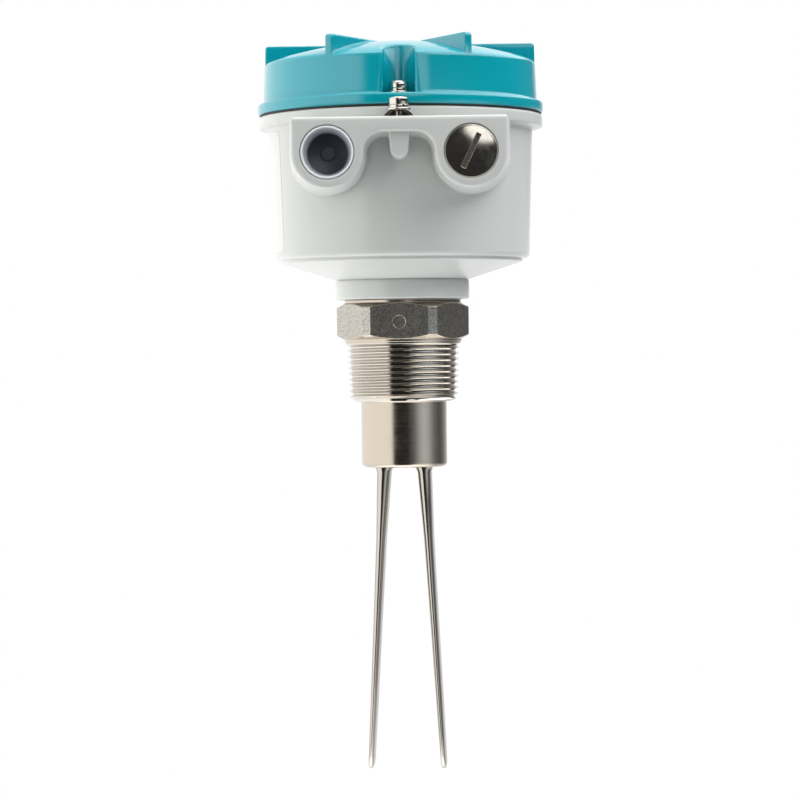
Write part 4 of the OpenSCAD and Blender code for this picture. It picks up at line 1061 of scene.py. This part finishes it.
def dress(cad_nodes, material):
    """Gives carried-over CAD nodes their material."""
    for cad_node in cad_nodes:
        give_materials(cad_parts[cad_node], material)


# The other steel fasteners keep their solids and take a steel finish
dress(("swivel_snap_ring", "module_screws", "terminal_screws"), bright_steel)
dress(("clamp_bolt", "clamp_nut"), brushed_steel)


# Seals and lead: black nitrile gasket and O-ring, and the sensor lead in its rubber sheath.
# The gasket shows as a dark line under the lid.
def moulded_material(name, dark, light, rough, grain_scale, relief):
    """A moulded or fired material: two close tones, a grain and a soft edge."""
    return grained_material(name, (dark, light), rough, grain_scale, relief, 0.00005, 0.0002)


nitrile = moulded_material("nitrile_black", grey(0.008), grey(0.016), (0.55, 0.7), 900.0, 0.2)
dress(("lid_gasket", "swivel_o_ring", "sensor_lead"), nitrile)


# Drive: lead zirconate discs between brass contact plates, clamped on the membrane by a bolt.
# Ceramic washers insulate the stack at both ends.
piezo = moulded_material("piezo_ceramic", (0.50, 0.43, 0.28), (0.56, 0.49, 0.33), (0.5, 0.6), 1400.0, 0.1)
ceramic = moulded_material("washer_ceramic", (0.80, 0.80, 0.76), (0.84, 0.84, 0.80), (0.3, 0.4), 1200.0, 0.05)
brass = grained_material("contact_brass", [(0.58, 0.36, 0.10), (0.70, 0.47, 0.16)], (0.28,), 500.0, 0.05,
                         0.00004, 0.0001, metallic=1)
dress(("piezo_discs",), piezo)
dress(("insulating_washers",), ceramic)
dress(("contact_plates",), brass)


# Electronics: a tray of dark plastic carries the round board with its terminals, relay and controls.
# They show when the lid is off.
nylon = moulded_material("tray_nylon", (0.020, 0.022, 0.026), (0.030, 0.032, 0.036), (0.45, 0.6), 1100.0, 0.2)
green = moulded_material("block_green", (0.01, 0.15, 0.055), (0.013, 0.18, 0.07), (0.3, 0.4), 800.0, 0.06)
black = moulded_material("relay_black", (0.01, 0.01, 0.011), (0.016, 0.016, 0.017), (0.25, 0.35), 700.0, 0.06)
blue = moulded_material("control_blue", (0.010, 0.055, 0.34), (0.014, 0.070, 0.40), (0.25, 0.35), 900.0, 0.06)
white = moulded_material("control_white", (0.76, 0.76, 0.72), (0.82, 0.82, 0.78), (0.35, 0.45), 900.0, 0.06)
led = moulded_material("led_green", (0.045, 0.55, 0.09), (0.055, 0.62, 0.11), (0.12, 0.2), 500.0, 0.03)
dress(("electronics_tray",), nylon)
dress(("terminal_block",), green)
dress(("relay",), black)
dress(("mode_switch", "sensitivity_trimmer"), blue)
dress(("mode_slider", "trimmer_dial"), white)
dress(("status_led",), led)

board_mask, tree, shader = new_material("board_solder_mask")
tracks = feed(tree, node(tree, "ShaderNodeTexBrick"), Scale=110, Color1=(0.012, 0.125, 0.045),
              Color2=(0.016, 0.145, 0.052), Mortar=(0.030, 0.235, 0.085), Mortar_Size=0.035,
              Vector=node(tree, "ShaderNodeTexCoord").outputs["Object"]).outputs
feed(tree, shader, Base_Color=tracks["Color"], Roughness=0.35)
bump(tree, shader, tracks["Fac"], 0.15, 0.00004)
dress(("circuit_board",), board_mask)
